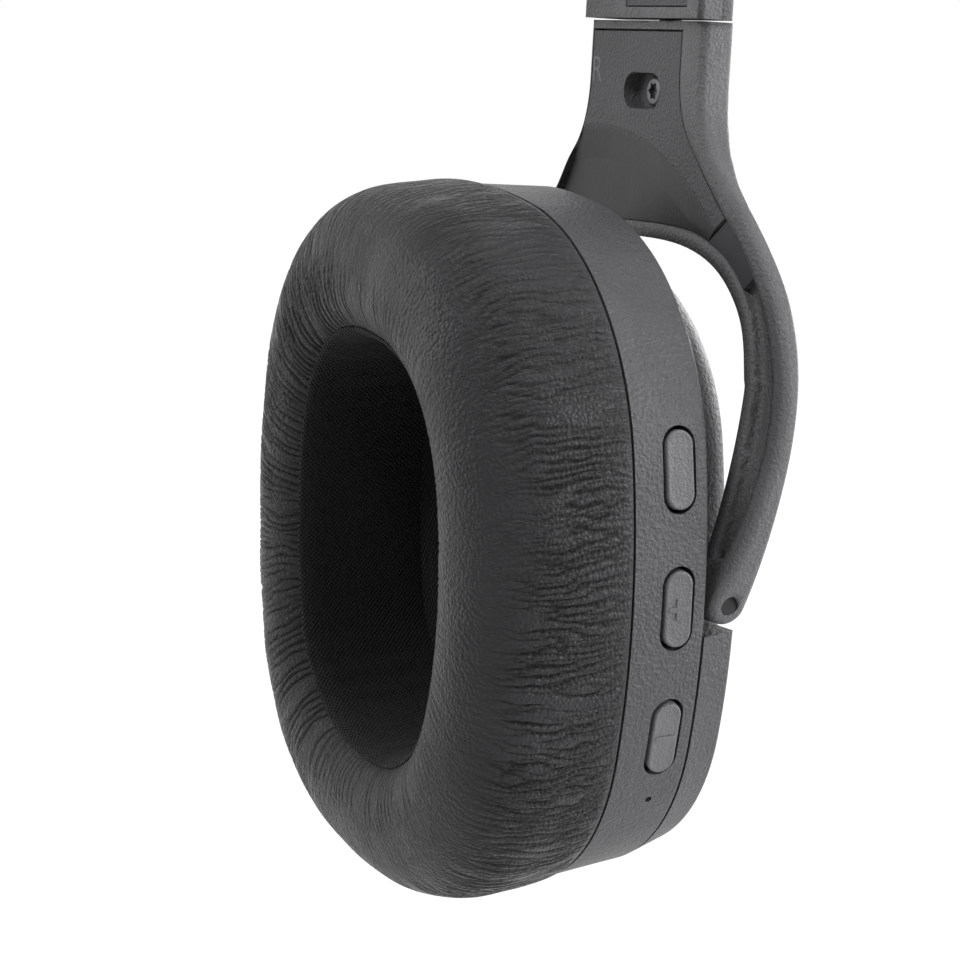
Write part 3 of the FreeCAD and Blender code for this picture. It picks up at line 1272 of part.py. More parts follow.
def make_headband():
    clear = d.seat_gap
    spring_half = d.spring_thickness / 2
    shell_low = spring_half + clear
    shell_high = shell_low + d.shell_thickness
    liner_high = -(spring_half + clear)
    liner_low = liner_high - d.liner_thickness
    pad_high = liner_low - d.soft_gap
    shell_middle = (shell_low + d.shell_thickness / 2).value

    def outer_side(e):
        arcs = band_arcs(shell_middle, 0.0)
        return e.Curve.Radius > arcs[0][1] and (e.Curve.Radius < 80 or e.Curve.Radius > arcs[1][1])

    shell = make_band_layer("headband_shell", shell_low, shell_high, d.band_width, 0.6,
                            (d.edge_round, outer_side))
    reach = d.slide_thickness.value / 2 + d.slide_gap.value
    middle = (d.ear_offset + d.slide_x).value
    cut_slider_room(shell, middle - 12.0, middle + reach)
    keep(shell, "headband_shell")
    spring = make_band_layer("band_spring", -spring_half, spring_half, d.spring_width, d.spring_start.value)
    keep(spring, "band_spring")
    liner = make_band_layer("headband_liner", liner_low, liner_high, d.band_width - 2.0, 0.6)
    cut_slider_room(liner, middle - reach, middle + 12.0)
    keep(liner, "headband_liner")
    cushion = make_band_layer("headband_pad", pad_high - d.pad_thickness, pad_high, d.band_width - 2.0,
                              d.pad_start.value, (Size.of(2.5), lambda e: True))
    keep(cushion, "headband_pad")


def make_band_end(side):
    """Housing at the end of the band that guides the slider."""
    body = new_body("band_end_body_" + side.name)
    low = band_bottom()
    plan = new_sketch(body, "plan", "XY_Plane", low)
    half_d, half_w = d.end_depth / 2, d.end_width / 2
    add_rectangle(plan, d.band_x - half_d, -half_w, d.band_x + half_d, half_w)
    pad(body, "block", plan, d.band_straight - d.seat_gap)
    fillet(body, "upright_edges", d.arm_round * 1.8, lambda e: e.BoundBox.ZLength > d.band_straight.value - 0.5)
    fillet(body, "lower_edge", d.edge_round, at("z", low))
    slot = new_sketch(body, "slot", "XY_Plane", low)
    thick, wide = d.slide_thickness / 2 + d.slide_gap, d.slide_width / 2 + d.slide_gap
    add_rectangle(slot, d.slide_x - thick, -wide, d.slide_x + thick, wide)
    pocket(body, "slider_slot", slot, 40.0)
    place_on_side(body, side)
    return keep(body, side.label("band_end"))


# ---------------------------------------------------------------------------------------------
# Build, check and write
# ---------------------------------------------------------------------------------------------
def build():
    make_headband()
    for side in (RIGHT, LEFT):
        for make in (make_band_end, make_slider, make_block, make_panel, make_post, make_yoke,
                     make_yoke_cover, make_cable_covers, make_yoke_screw, make_housing, make_cover, make_pins, make_baffle,
                     make_driver, make_cushion_ring, make_cushion, make_scrim):
            make(side)
    for label, step_no in BUTTON_RISES.items():
        make_button(label, step_no * d.button_pitch.value)
    make_button_strip()
    make_sockets()
    make_electronics()


def write():
    doc.recompute()
    failed = [o.Label for o in doc.Objects if "Invalid" in o.State or "Error" in o.State]
    if failed:
        raise RuntimeError("failed objects: " + ", ".join(failed))
    for obj in nodes:
        if obj.Shape.isNull() or not obj.Shape.isValid():
            raise RuntimeError("bad shape: " + obj.Label)
    os.makedirs("parts", exist_ok=True)
    for obj in nodes:
        obj.Shape.exportStep("parts/%s.step" % obj.Label)
    print("%d sub-parts written" % len(nodes))


build()
write()
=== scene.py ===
"""Over-ear headset: finishes, soft parts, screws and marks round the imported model, and the studio.

Lengths inside the classes are millimetres; every mesh is written in metres.
"""
import json
import logging
import math
from collections.abc import Callable
from dataclasses import KW_ONLY, dataclass, field
from enum import Enum

import bmesh
import bpy
import numpy as np
from bpy.types import Material, Mesh, Node, NodeSocket as Socket, NodeTree
from bpy.types import Object as Piece
from mathutils import Matrix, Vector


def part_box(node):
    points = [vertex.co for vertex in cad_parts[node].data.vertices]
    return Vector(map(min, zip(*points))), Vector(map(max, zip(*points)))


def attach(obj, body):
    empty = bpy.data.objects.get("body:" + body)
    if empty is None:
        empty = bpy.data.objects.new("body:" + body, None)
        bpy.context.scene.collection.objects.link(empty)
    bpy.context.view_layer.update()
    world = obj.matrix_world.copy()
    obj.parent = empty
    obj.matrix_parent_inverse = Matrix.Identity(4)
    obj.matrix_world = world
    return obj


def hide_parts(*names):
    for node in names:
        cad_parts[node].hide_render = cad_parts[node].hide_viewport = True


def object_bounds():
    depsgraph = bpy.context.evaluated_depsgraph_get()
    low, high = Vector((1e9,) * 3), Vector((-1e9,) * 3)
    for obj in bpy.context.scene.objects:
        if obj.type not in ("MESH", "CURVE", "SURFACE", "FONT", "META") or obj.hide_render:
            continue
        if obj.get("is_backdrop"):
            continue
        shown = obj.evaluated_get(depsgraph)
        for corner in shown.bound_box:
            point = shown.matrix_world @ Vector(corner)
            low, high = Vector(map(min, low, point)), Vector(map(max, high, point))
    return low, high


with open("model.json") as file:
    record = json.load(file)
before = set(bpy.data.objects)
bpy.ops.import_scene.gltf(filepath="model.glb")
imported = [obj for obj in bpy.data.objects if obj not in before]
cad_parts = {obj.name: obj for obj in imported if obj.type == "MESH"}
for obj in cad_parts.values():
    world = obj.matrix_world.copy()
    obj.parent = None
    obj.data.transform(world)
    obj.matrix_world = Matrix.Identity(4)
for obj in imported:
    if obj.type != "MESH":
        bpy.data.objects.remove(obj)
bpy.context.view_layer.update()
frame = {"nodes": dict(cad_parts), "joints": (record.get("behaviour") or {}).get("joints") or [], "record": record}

log = logging.getLogger("headset")
MM = 0.001
DECIMETRE = 100.0          # millimetres per unit of a cloth's UV map
FULL_TURN = 2 * math.pi
Array = np.ndarray


class Side(Enum):
    """The two sides of the headset; the value is the sign of X."""

    RIGHT = 1
    LEFT = -1

    @property
    def label(self) -> str:
        """Ending of this side's node names."""
        return self.name.lower()


# ---------------------------------------------------------------------------------------------
# Surfaces
# ---------------------------------------------------------------------------------------------
def smoothstep(low: float, high: float, value: Array) -> Array:
    """Cubic step: 0 below low, 1 above high, and 3t^2 - 2t^3 between them.

    Args:
        low: value where the step starts.
        high: value where it ends.
        value: places to evaluate.

    Returns:
        The step at each place.
    """
    t = np.clip((value - low) / (high - low), 0.0, 1.0)
    return t * t * (3.0 - 2.0 * t)


def plateau(value: Array, edges: tuple[float, float, float, float]) -> Array:
    """Product of a cubic step up and a cubic step down.

    Args:
        value: places to evaluate.
        edges: where the rise starts and ends, and where the fall starts and ends.

    Returns:
        1 between the two middle edges and 0 outside the outer two.
    """
    return smoothstep(*edges[:2], value) * (1.0 - smoothstep(*edges[2:], value))


def lattice_noise(u: Array, v: Array, cells_u: int, cells_v: int, seed: int) -> Array:
    """Smooth noise on a grid of random values that repeats after u = 1 and v = 1.

    The four corner values round a point are mixed with the weights 3t^2 - 2t^3 in both directions.

    Args:
        u: first coordinate, any real number.
        v: second coordinate.
        cells_u: random values along u.
        cells_v: random values along v.
        seed: start of the random numbers.

    Returns:
        Values from -1 to 1.
    """
    table = np.random.default_rng(seed).uniform(-1.0, 1.0, (cells_u, cells_v))
    x, y = u * cells_u, v * cells_v
    i, j = np.floor(x).astype(int), np.floor(y).astype(int)
    a, b = x - i, y - j
    a, b = a * a * (3 - 2 * a), b * b * (3 - 2 * b)
    i0, i1, j0, j1 = i % cells_u, (i + 1) % cells_u, j % cells_v, (j + 1) % cells_v
    low = table[i0, j0] * (1 - a) + table[i1, j0] * a
    high = table[i0, j1] * (1 - a) + table[i1, j1] * a
    return low * (1 - b) + high * b


def creases(field_value: Array, width: float) -> Array:
    """1 on the lines where a noise field passes through zero, falling to 0 at width from them."""
    return 1.0 - smoothstep(0.0, width, np.abs(field_value))


def closed_curve(points: list[tuple[float, float]], count: int) -> Array:
    """Closed Catmull-Rom curve through points: each span is a cubic whose end slopes are half the
    step between its neighbours, sampled at even parameter steps.

    Args:
        points: corner points, in order.
        count: samples round the whole curve.

    Returns:
        Array of shape (count, 2).
    """
    p = np.array(points, float)
    t = np.arange(count) * len(p) / count
    i = np.floor(t).astype(int)
    t = (t - i)[:, None]
    p0, p1, p2, p3 = (p[(i + k) % len(p)] for k in (-1, 0, 1, 2))
    slope_in, slope_out = (p2 - p0) / 2, (p3 - p1) / 2
    return ((2 * t ** 3 - 3 * t ** 2 + 1) * p1 + (t ** 3 - 2 * t ** 2 + t) * slope_in
            + (3 * t ** 2 - 2 * t ** 3) * p2 + (t ** 3 - t ** 2) * slope_out)


def lengths_round(curve: Array) -> Array:
    """Lengths along a closed curve from its first point to each point and back to the first.

    Args:
        curve: points of shape (count, 2).

    Returns:
        Array of count + 1 lengths, from 0 to the whole length.
    """
    steps = np.linalg.norm(np.roll(curve, -1, 0) - curve, axis=1)
    return np.concatenate([[0.0], np.cumsum(steps)])


def surface_normals(points: Array) -> Array:
    """Unit normals of a grid closed in both directions, from the cross product of its differences.

    Args:
        points: grid of shape (nu, nv, 3).

    Returns:
        Normals of the same shape.
    """
    along = np.roll(points, -1, 0) - np.roll(points, 1, 0)
    across = np.roll(points, -1, 1) - np.roll(points, 1, 1)
    normal = np.cross(along, across)
    return normal / np.maximum(np.linalg.norm(normal, axis=2, keepdims=True), 1e-12)


def grid_object(name: str, points: Array, wrap_u: bool, wrap_v: bool, uv: Array | None = None,
                body: str = "", weld: bool = False) -> Piece:
    """Mesh object from a grid of points, turned so that its faces point outwards.

    Args:
        name: name of the piece.
        points: grid of shape (nu, nv, 3) in metres.
        wrap_u: whether the last row joins the first.
        wrap_v: whether the last column joins the first.
        uv: corner coordinates of shape (nu + 1, nv + 1, 2), or None for none.
        body: CAD body that the piece rides on.
        weld: whether points that coincide are merged, as at a pole.

    Returns:
        The linked object.
    """
    nu, nv = points.shape[:2]
    i = np.arange(nu if wrap_u else nu - 1)
    j = np.arange(nv if wrap_v else nv - 1)
    i, j = (a.ravel() for a in np.meshgrid(i, j, indexing="ij"))
    i1, j1 = (i + 1) % nu, (j + 1) % nv
    faces = np.stack([i * nv + j, i1 * nv + j, i1 * nv + j1, i * nv + j1], axis=1)
    corners = np.stack([i, j, i + 1, j, i + 1, j + 1, i, j + 1], axis=1).reshape(-1, 4, 2)
    flat = points.reshape(-1, 3)
    a, b, c, d = (flat[faces[:, k]] for k in range(4))
    volume = np.einsum("ij,ij->", a, np.cross(b, c)) + np.einsum("ij,ij->", a, np.cross(c, d))
    if volume < 0:
        faces, corners = faces[:, ::-1], corners[:, ::-1]
    mesh = bpy.data.meshes.new(name)
    mesh.vertices.add(len(flat))
    mesh.vertices.foreach_set("co", flat.astype(np.float32).ravel())
    mesh.loops.add(faces.size)
    mesh.loops.foreach_set("vertex_index", faces.ravel().astype(np.int32))
    mesh.polygons.add(len(faces))
    mesh.polygons.foreach_set("loop_start", np.arange(0, faces.size, 4, dtype=np.int32))
    mesh.update(calc_edges=True)
    if uv is not None:
        layer = mesh.uv_layers.new(name="UVMap")
        spots = uv[corners[..., 0].ravel(), corners[..., 1].ravel()]
        layer.data.foreach_set("uv", spots.astype(np.float32).ravel())
    if weld:
        work = bmesh.new()
        work.from_mesh(mesh)
        bmesh.ops.remove_doubles(work, verts=work.verts, dist=1e-6)
        bmesh.ops.dissolve_degenerate(work, dist=1e-7, edges=work.edges)
        work.to_mesh(mesh)
        work.free()
    mesh.polygons.foreach_set("use_smooth", np.ones(len(mesh.polygons), bool))
    mesh.validate()
    return link(bpy.data.objects.new(name, mesh), body)


def link(piece: Piece, body: str = "") -> Piece:
    """Put a piece in the scene and, where a body is named, make it ride on that body.

    Args:
        piece: object to add.
        body: CAD body that it rides on, or nothing for the studio's objects.

    Returns:
        The same object.
    """
    bpy.context.scene.collection.objects.link(piece)
    if body:
        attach(piece, body)
    return piece


def mesh_points(mesh: Mesh) -> Array:
    """All points of a mesh.

    Args:
        mesh: mesh to read.

    Returns:
        Array of shape (points, 3), in metres.
    """
    flat = np.empty(len(mesh.vertices) * 3)
    mesh.vertices.foreach_get("co", flat)
    return flat.reshape(-1, 3)


def set_points(mesh: Mesh, points: Array) -> None:
    """Put new places into a mesh's points, in metres."""
    mesh.vertices.foreach_set("co", points.ravel())
    mesh.update()


def body_of(node: str) -> str:
    """Name of the body that a CAD node belongs to."""
    bodies = frame["record"]["behaviour"]["bodies"]
    return next(body for body, nodes in bodies.items() if node in nodes)


def store(piece: Piece, name: str, values: Array) -> None:
    """Keep one number per point as a named attribute for the piece's material."""
    layer = piece.data.attributes.new(name, "FLOAT", "POINT")
    layer.data.foreach_set("value", values.astype(np.float32).ravel())


def merged_copy(node: str, name: str, longest: float = 0.0) -> Mesh:
    """Copy of a CAD node's mesh with its loose triangles merged and long edges halved to fit.

    Args:
        node: the CAD node.
        name: name of the new mesh.
        longest: longest edge to leave, in millimetres, or 0 to leave them all.

    Returns:
        The mesh, smooth across edges flatter than 30 degrees.
    """
    mesh = frame["nodes"][node].data.copy()
    mesh.name = name
    work = bmesh.new()
    work.from_mesh(mesh)
    bmesh.ops.remove_doubles(work, verts=work.verts, dist=2e-6)
    for _ in range(6 if longest else 0):
        long_edges = [edge for edge in work.edges if edge.calc_length() > longest * MM]
        if not long_edges:
            break
        bmesh.ops.subdivide_edges(work, edges=long_edges, cuts=1)
        bmesh.ops.triangulate(work, faces=work.faces)
    work.to_mesh(mesh)
    work.free()
    mesh.polygons.foreach_set("use_smooth", np.ones(len(mesh.polygons), bool))
    mesh.set_sharp_from_angle(angle=math.radians(30.0))
    return mesh


def middle(node: str) -> Array:
    """Middle of a CAD node's box, in metres."""
    low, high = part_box(node)
    return (np.array(low) + np.array(high)) / 2


# ---------------------------------------------------------------------------------------------
# Shader groups
# ---------------------------------------------------------------------------------------------
class Graph:
    """Short way to add and join shader nodes in one tree."""

    def __init__(self, tree: NodeTree) -> None:
        """Keep the tree and its links."""
        self.tree, self.nodes, self.links = tree, tree.nodes, tree.links

    def add(self, kind: str, inputs: dict[str | int, object] | None = None,
            **settings: object) -> Node:
        """Add a node, set its properties and set or join its inputs.

        Args:
            kind: node type without the ShaderNode prefix.
            inputs: socket name or number to a value or to another node's output.
            settings: node properties.

        Returns:
            The node.
        """
        node = self.nodes.new("ShaderNode" + kind)
        for key, value in settings.items():
            setattr(node, key, value)
        for key, value in (inputs or {}).items():
            self.join(value, node.inputs[key])
        return node

    def join(self, value: object, socket: Socket) -> None:
        """Join an output to a socket, or set the socket's own value.

        Args:
            value: output of another node, or a plain value.
            socket: input to fill.
        """
        if isinstance(value, Socket):
            self.links.new(value, socket)
        else:
            socket.default_value = value

    def math(self, operation: str, a: object, b: object = 0.0, c: object = 0.0) -> Socket:
        """Output of a Math node."""
        return self.add("Math", {0: a, 1: b, 2: c}, operation=operation).outputs[0]

    def times(self, a: object, b: object) -> Socket:
        """Output that is a times b."""
        return self.math("MULTIPLY", a, b)

    def times_plus(self, a: object, b: object, c: object) -> Socket:
        """Output that is a times b, plus c."""
        return self.math("MULTIPLY_ADD", a, b, c)

    def stretched(self, vector: object, scale: tuple[float, float, float]) -> Socket:
        """Coordinates scaled along each axis."""
        return self.add("Mapping", {"Vector": vector, "Scale": scale}).outputs[0]

    def ramp(self, value: object, low: float, high: float, to_low: float,
             to_high: float) -> Socket:
        """Value carried from the span low..high to the span to_low..to_high, held at its ends."""
        return self.add("MapRange", {0: value, 1: low, 2: high, 3: to_low, 4: to_high}).outputs[0]

    def noise(self, vector: object, scale: float, detail: float = 2.0,
              rough: float = 0.5) -> Socket:
        """Value of a noise texture, about 0.5 in the middle."""
        return self.add("TexNoise", {"Vector": vector, "Scale": scale, "Detail": detail,
                                     "Roughness": rough}).outputs[0]


class SharedGroup(Enum):
    """Shader groups that several finishes use."""

    GRAIN = "spark_grain"
    HIDE = "soft_hide"
    HANDLING = "handling"
    RIBS = "ribbed_cloth"


GROUP_SOCKETS = {
    SharedGroup.GRAIN: (("Vector", "Vector"), ("Size", "Float"), ("Height", "Float", 1),
                        ("Fleck", "Float", 1)),
    SharedGroup.HIDE: (("Vector", "Vector"), ("Cloth Vector", "Vector"), ("Height", "Float", 1),
                       ("Crease", "Float", 1)),
    SharedGroup.HANDLING: (("Vector", "Vector"), ("Patch", "Float", 1)),
    SharedGroup.RIBS: (("Cloth Vector", "Vector"), ("Ribs", "Float"), ("Height", "Float", 1),
                       ("Thread", "Float", 1)),
}


def new_group(which: SharedGroup) -> tuple[Graph, Node, Node]:
    """Empty shader group with its named inputs and outputs.

    Args:
        which: the group.

    Returns:
        The group's graph, its input node and its output node.
    """
    tree = bpy.data.node_groups.new(which.value, "ShaderNodeTree")
    for name, kind, *out in GROUP_SOCKETS[which]:
        tree.interface.new_socket(name, in_out="OUTPUT" if out else "INPUT",
                                  socket_type="NodeSocket" + kind)
    graph = Graph(tree)
    return graph, tree.nodes.new("NodeGroupInput"), tree.nodes.new("NodeGroupOutput")


def build_grain() -> NodeTree:
    """Spark-eroded plastic: rounded pits of one size with a finer noise over them.

    Returns:
        The group's tree.
    """
    g, inp, out = new_group(SharedGroup.GRAIN)
    scaled = g.add("VectorMath", {0: inp.outputs["Vector"], "Scale": inp.outputs["Size"]},
                   operation="SCALE").outputs[0]
    pits = g.add("TexVoronoi", {"Vector": scaled, "Scale": 1.0, "Randomness": 1.0},
                 feature="SMOOTH_F1")
    fine_per_pit, swell_per_pit, fleck_from, fleck_full = 2.3, 0.45, 0.54, 0.68
    fine = g.noise(scaled, fine_per_pit, 3.0, 0.6)
    swell = g.noise(scaled, swell_per_pit, 1.0)
    height = g.times_plus(fine, 0.55, pits.outputs[0])
    g.join(g.times_plus(swell, 0.5, height), out.inputs["Height"])
    g.join(g.ramp(fine, fleck_from, fleck_full, 0.0, 1.0), out.inputs["Fleck"])
    return g.tree


def build_hide() -> NodeTree:
    """Thin soft leather: rounded pebbles half a millimetre wide, pores and hair-fine lines.

    Returns:
        The group's tree.
    """
    g, inp, out = new_group(SharedGroup.HIDE)
    pebbles_per_metre, pores_per_metre, patches_of_lines = 1900.0, 5200.0, 5.0
    line_sets = (((150.0, 22.0, 1.0), 0.05), ((260.0, 40.0, 1.0), 0.06))
    where, cloth = inp.outputs["Vector"], inp.outputs["Cloth Vector"]
    pebble = g.add("TexVoronoi", {"Vector": where, "Scale": pebbles_per_metre, "Randomness": 1.0,
                                  "Smoothness": 0.35}, feature="SMOOTH_F1").outputs[0]
    pebble = g.ramp(pebble, 0.15, 0.75, 1.0, 0.0)
    pores = g.noise(where, pores_per_metre, 2.0, 0.6)
    lines = []
    for stretch, width in line_sets:
        wave = g.noise(g.stretched(cloth, stretch), 1.0, 1.5, 0.5)
        near = g.math("ABSOLUTE", g.math("SUBTRACT", wave, 0.5))
        lines.append(g.ramp(near, 0.0, width, 1.0, 0.0))
    crease = g.math("MAXIMUM", lines[0], g.times(lines[1], 0.6))
    crease = g.times(crease, g.ramp(g.noise(cloth, patches_of_lines, 1.0), 0.42, 0.62, 0.0, 1.0))
    base = g.times_plus(pebble, 0.6, g.times(pores, 0.2))
    g.join(g.math("SUBTRACT", base, g.times(crease, 0.45)), out.inputs["Height"])
    g.join(crease, out.inputs["Crease"])
    return g.tree


def build_handling() -> NodeTree:
    """Large soft patches where hands and cloth have polished or dulled a surface.

    Returns:
        The group's tree.
    """
    g, inp, out = new_group(SharedGroup.HANDLING)
    patches_per_metre, streaks_per_metre = 55.0, 260.0
    broad = g.noise(inp.outputs["Vector"], patches_per_metre, 3.0, 0.55)
    streak = g.noise(g.stretched(inp.outputs["Vector"], (1.0, 1.0, 0.3)), streaks_per_metre, 2.0)
    g.join(g.ramp(g.times_plus(streak, 0.3, broad), 0.35, 0.95, 0.0, 1.0), out.inputs["Patch"])
    return g.tree


def build_ribs() -> NodeTree:
    """Fine open knit: loops where two sine waves cross, broken up by noise, over short ridges.

    Returns:
        The group's tree.
    """
    g, inp, out = new_group(SharedGroup.RIBS)
    cloth = inp.outputs["Cloth Vector"]
    split = g.add("SeparateXYZ", {0: cloth})
    wobbles_per_decimetre, wobble_turn, ridges = 60.0, 3.0, (60.0, 180.0, 1.0)
    wobble = g.times(g.noise(cloth, wobbles_per_decimetre, 2.0), wobble_turn)
    across = g.times_plus(split.outputs[0], inp.outputs["Ribs"], wobble)
    along = g.times_plus(split.outputs[1], inp.outputs["Ribs"], wobble)
    loops = g.times(g.math("SINE", across), g.math("SINE", along))
    loops = g.times_plus(loops, 0.5, 0.5)
    ridge = g.noise(g.stretched(cloth, ridges), 1.0, 3.0, 0.6)
    height = g.times_plus(ridge, 0.8, g.times(loops, 0.6))
    g.join(height, out.inputs["Height"])
    g.join(g.ramp(height, 0.45, 1.0, 0.0, 1.0), out.inputs["Thread"])
    return g.tree


GROUP_MAKERS = {SharedGroup.GRAIN: build_grain, SharedGroup.HIDE: build_hide,
                SharedGroup.HANDLING: build_handling, SharedGroup.RIBS: build_ribs}


def use_group(graph: Graph, which: SharedGroup, inputs: dict[str, object]) -> Node:
    """Place a shared group in a material, building it the first time.

    Args:
        graph: the material's graph.
        which: the group.
        inputs: values or outputs for the group's inputs.

    Returns:
        The group node.
    """
    tree = bpy.data.node_groups.get(which.value) or GROUP_MAKERS[which]()
    node = graph.nodes.new("ShaderNodeGroup")
    node.node_tree = tree
    for key, value in inputs.items():
        graph.join(value, node.inputs[key])
    return node


# ---------------------------------------------------------------------------------------------
# Finishes
# ---------------------------------------------------------------------------------------------
Colour = tuple[float, float, float]


@dataclass(frozen=True)
class Finish:
    """One surface finish.

    Its colour is linear, its tones are the shares of that colour where its mask is 0 and 1, its
    specular is the strength of its gloss, and its bump is depth millimetres high at a strength.
    """

    name: str
    colour: Colour
    roughness: float
    _: KW_ONLY
    specular: float = 0.3
    tones: tuple[float, float] = (0.8, 2.0)

    def start(self) -> tuple[Material, Graph, Node, Socket]:
        """New material with its shader joined, and the Object coordinate.

        Returns:
            The material, its graph, the Principled node and the Object output.
        """
        material = bpy.data.materials.new(self.name)
        material.use_nodes = True
        graph = Graph(material.node_tree)
        shader = material.node_tree.nodes["Principled BSDF"]
        shader.inputs["Base Color"].default_value = (*self.colour, 1.0)
        shader.inputs["Roughness"].default_value = self.roughness
        shader.inputs["Specular IOR Level"].default_value = self.specular
        coordinate = graph.add("TexCoord").outputs["Object"]
        return material, graph, shader, coordinate

    def tint(self, graph: Graph, factor: Socket) -> Socket:
        """Base colour scaled between the finish's two tones by a factor.

        Args:
            graph: the material's graph.
            factor: 0 to 1 over the surface.

        Returns:
            Colour output.
        """
        ends = [tuple(min(c * share, 1.0) for c in self.colour) + (1.0,) for share in self.tones]
        mix = graph.add("Mix", data_type="RGBA")
        for socket, value in zip((0, 6, 7), (factor, *ends)):
            graph.join(value, mix.inputs[socket])
        return mix.outputs[2]

    def bump(self, graph: Graph, height: Socket, depth: float,
             strength: float) -> Socket:
        """Normal output of a Bump node whose full height is depth millimetres.

        Args:
            graph: the material's graph.
            height: height output, 0 to about 1.
            depth: full height, in millimetres.
            strength: share of the height that shows.

        Returns:
            Normal output.
        """
        return graph.add("Bump", {"Strength": strength, "Distance": depth * MM,
                                  "Height": height}).outputs[0]

    def handled(self, graph: Graph, where: Socket) -> Socket:
        """Mask of the patches that hands and cloth have changed."""
        return use_group(graph, SharedGroup.HANDLING, {"Vector": where}).outputs[0]

    def grained(self, graph: Graph, where: Socket, size: float) -> Node:
        """Grain of the mould, at a scale of size pits per metre."""
        return use_group(graph, SharedGroup.GRAIN, {"Vector": where, "Size": size})

    def worn_gloss(self, graph: Graph, patch: Socket) -> Socket:
        """Roughness that is a little lower where the surface is handled."""
        change = 0.05
        return graph.ramp(patch, 0.0, 1.0, self.roughness + change, self.roughness - change)

    def material(self) -> Material:
        """Material of this finish."""
        raise NotImplementedError


@dataclass(frozen=True)
class MouldedPlastic(Finish):
    """Plastic from a spark-eroded mould: even grain, faint light flecks and handled patches."""

    grain: float = 2400.0
    depth: float = 0.2
    strength: float = 0.9
    fleck: float = 0.6
    _: KW_ONLY
    patch: float = 0.4
    fleck_gloss: float = -0.08

    def material(self) -> Material:
        """Material of this finish.

        Returns:
            The material.
        """
        material, g, shader, where = self.start()
        grain = self.grained(g, where, self.grain)
        patch = self.handled(g, where)
        mixed = g.times_plus(grain.outputs["Fleck"], self.fleck, g.times(patch, self.patch))
        g.join(self.tint(g, mixed), shader.inputs["Base Color"])
        rough = g.times_plus(grain.outputs["Fleck"], self.fleck_gloss, self.worn_gloss(g, patch))
        g.join(rough, shader.inputs["Roughness"])
        normal = self.bump(g, grain.outputs["Height"], self.depth, self.strength)
        g.join(normal, shader.inputs["Normal"])
        return material


@dataclass(frozen=True)
class DishedPlastic(Finish):
    """Yoke cover: grained above the crest arc of the shoulder and satin in the dish below it, with painted shade
    darkening the dish's colour.
    """

    crest: tuple[float, float] = (12.8, 6.7)
    crest_radius: float = 50.0
    crest_fade: float = 1.2
    grain: float = 2400.0
    _: KW_ONLY
    tones: tuple[float, float] = (0.3, 1.9)
    fleck: float = 0.5
    patch: float = 0.2
    dish_painted_shade: float = 0.35
    dish_gloss: float = -0.08
    above_gloss: float = 0.06
    dish_grain: float = 0.12
    depth: float = 0.2
    strength: float = 0.9

    def material(self) -> Material:
        """Material of this finish.

        Returns:
            The material.
        """
        material, g, shader, where = self.start()
        split = g.add("SeparateXYZ", {0: where})
        away = g.math("SUBTRACT", split.outputs[1], self.crest[0] * MM)
        up = g.math("SUBTRACT", split.outputs[2], self.crest[1] * MM)
        reach = g.math("SQRT", g.times_plus(up, up, g.times(away, away)))
        crest = self.crest_radius
        above = g.ramp(reach, (crest - self.crest_fade) * MM, crest * MM, 0.0, 1.0)
        grain = self.grained(g, where, self.grain)
        patch = self.handled(g, where)
        fleck = g.times(grain.outputs["Fleck"], above)
        tone = g.times_plus(fleck, self.fleck, g.times(patch, self.patch))
        # Painted shade: the dish below the crest is coloured darker than the grained part above it.
        shade = g.times_plus(above, self.dish_painted_shade, tone)
        g.join(self.tint(g, shade), shader.inputs["Base Color"])
        g.join(g.ramp(above, 0.0, 1.0, self.roughness + self.dish_gloss,
                      self.roughness + self.above_gloss), shader.inputs["Roughness"])
        height = g.times(grain.outputs["Height"], g.ramp(above, 0.0, 1.0, self.dish_grain, 1.0))
        g.join(self.bump(g, height, self.depth, self.strength), shader.inputs["Normal"])
        return material


@dataclass(frozen=True)
class SoftHide(Finish):
    """Soft leather over foam: pebbles, creases across the roll, a low sheen, and painted shade that darkens the
    folds and creases.
    """

    sheen: float = 0.08
    depth: float = 0.22
    _: KW_ONLY
    tones: tuple[float, float] = (0.1, 1.5)
    fold_shade: float = 0.85
    fold_gloss: float = 0.3
    sheen_rough: float = 0.5
    strength: float = 0.8

    def material(self) -> Material:
        """Material of this finish.

        Returns:
            The material.
        """
        material, g, shader, where = self.start()
        cloth = g.add("UVMap", uv_map="UVMap").outputs[0]
        hide = use_group(g, SharedGroup.HIDE, {"Vector": where, "Cloth Vector": cloth})
        patch = self.handled(g, where)
        # Painted shade: the fold mask and half the crease lines darken the base colour.
        fold = g.add("Attribute", attribute_name="fold").outputs["Fac"]
        painted_crease_shade = g.math("MAXIMUM", fold, g.times(hide.outputs["Crease"], 0.5))
        tone = g.math("SUBTRACT", g.times_plus(patch, 0.3, 0.6), g.times(painted_crease_shade, self.fold_shade))
        g.join(self.tint(g, tone), shader.inputs["Base Color"])
        gloss = g.times_plus(painted_crease_shade, self.fold_gloss, self.worn_gloss(g, patch))
        g.join(gloss, shader.inputs["Roughness"])
        shader.inputs["Sheen Weight"].default_value = self.sheen
        shader.inputs["Sheen Roughness"].default_value = self.sheen_rough
        normal = self.bump(g, hide.outputs["Height"], self.depth, self.strength)
        g.join(normal, shader.inputs["Normal"])
        return material


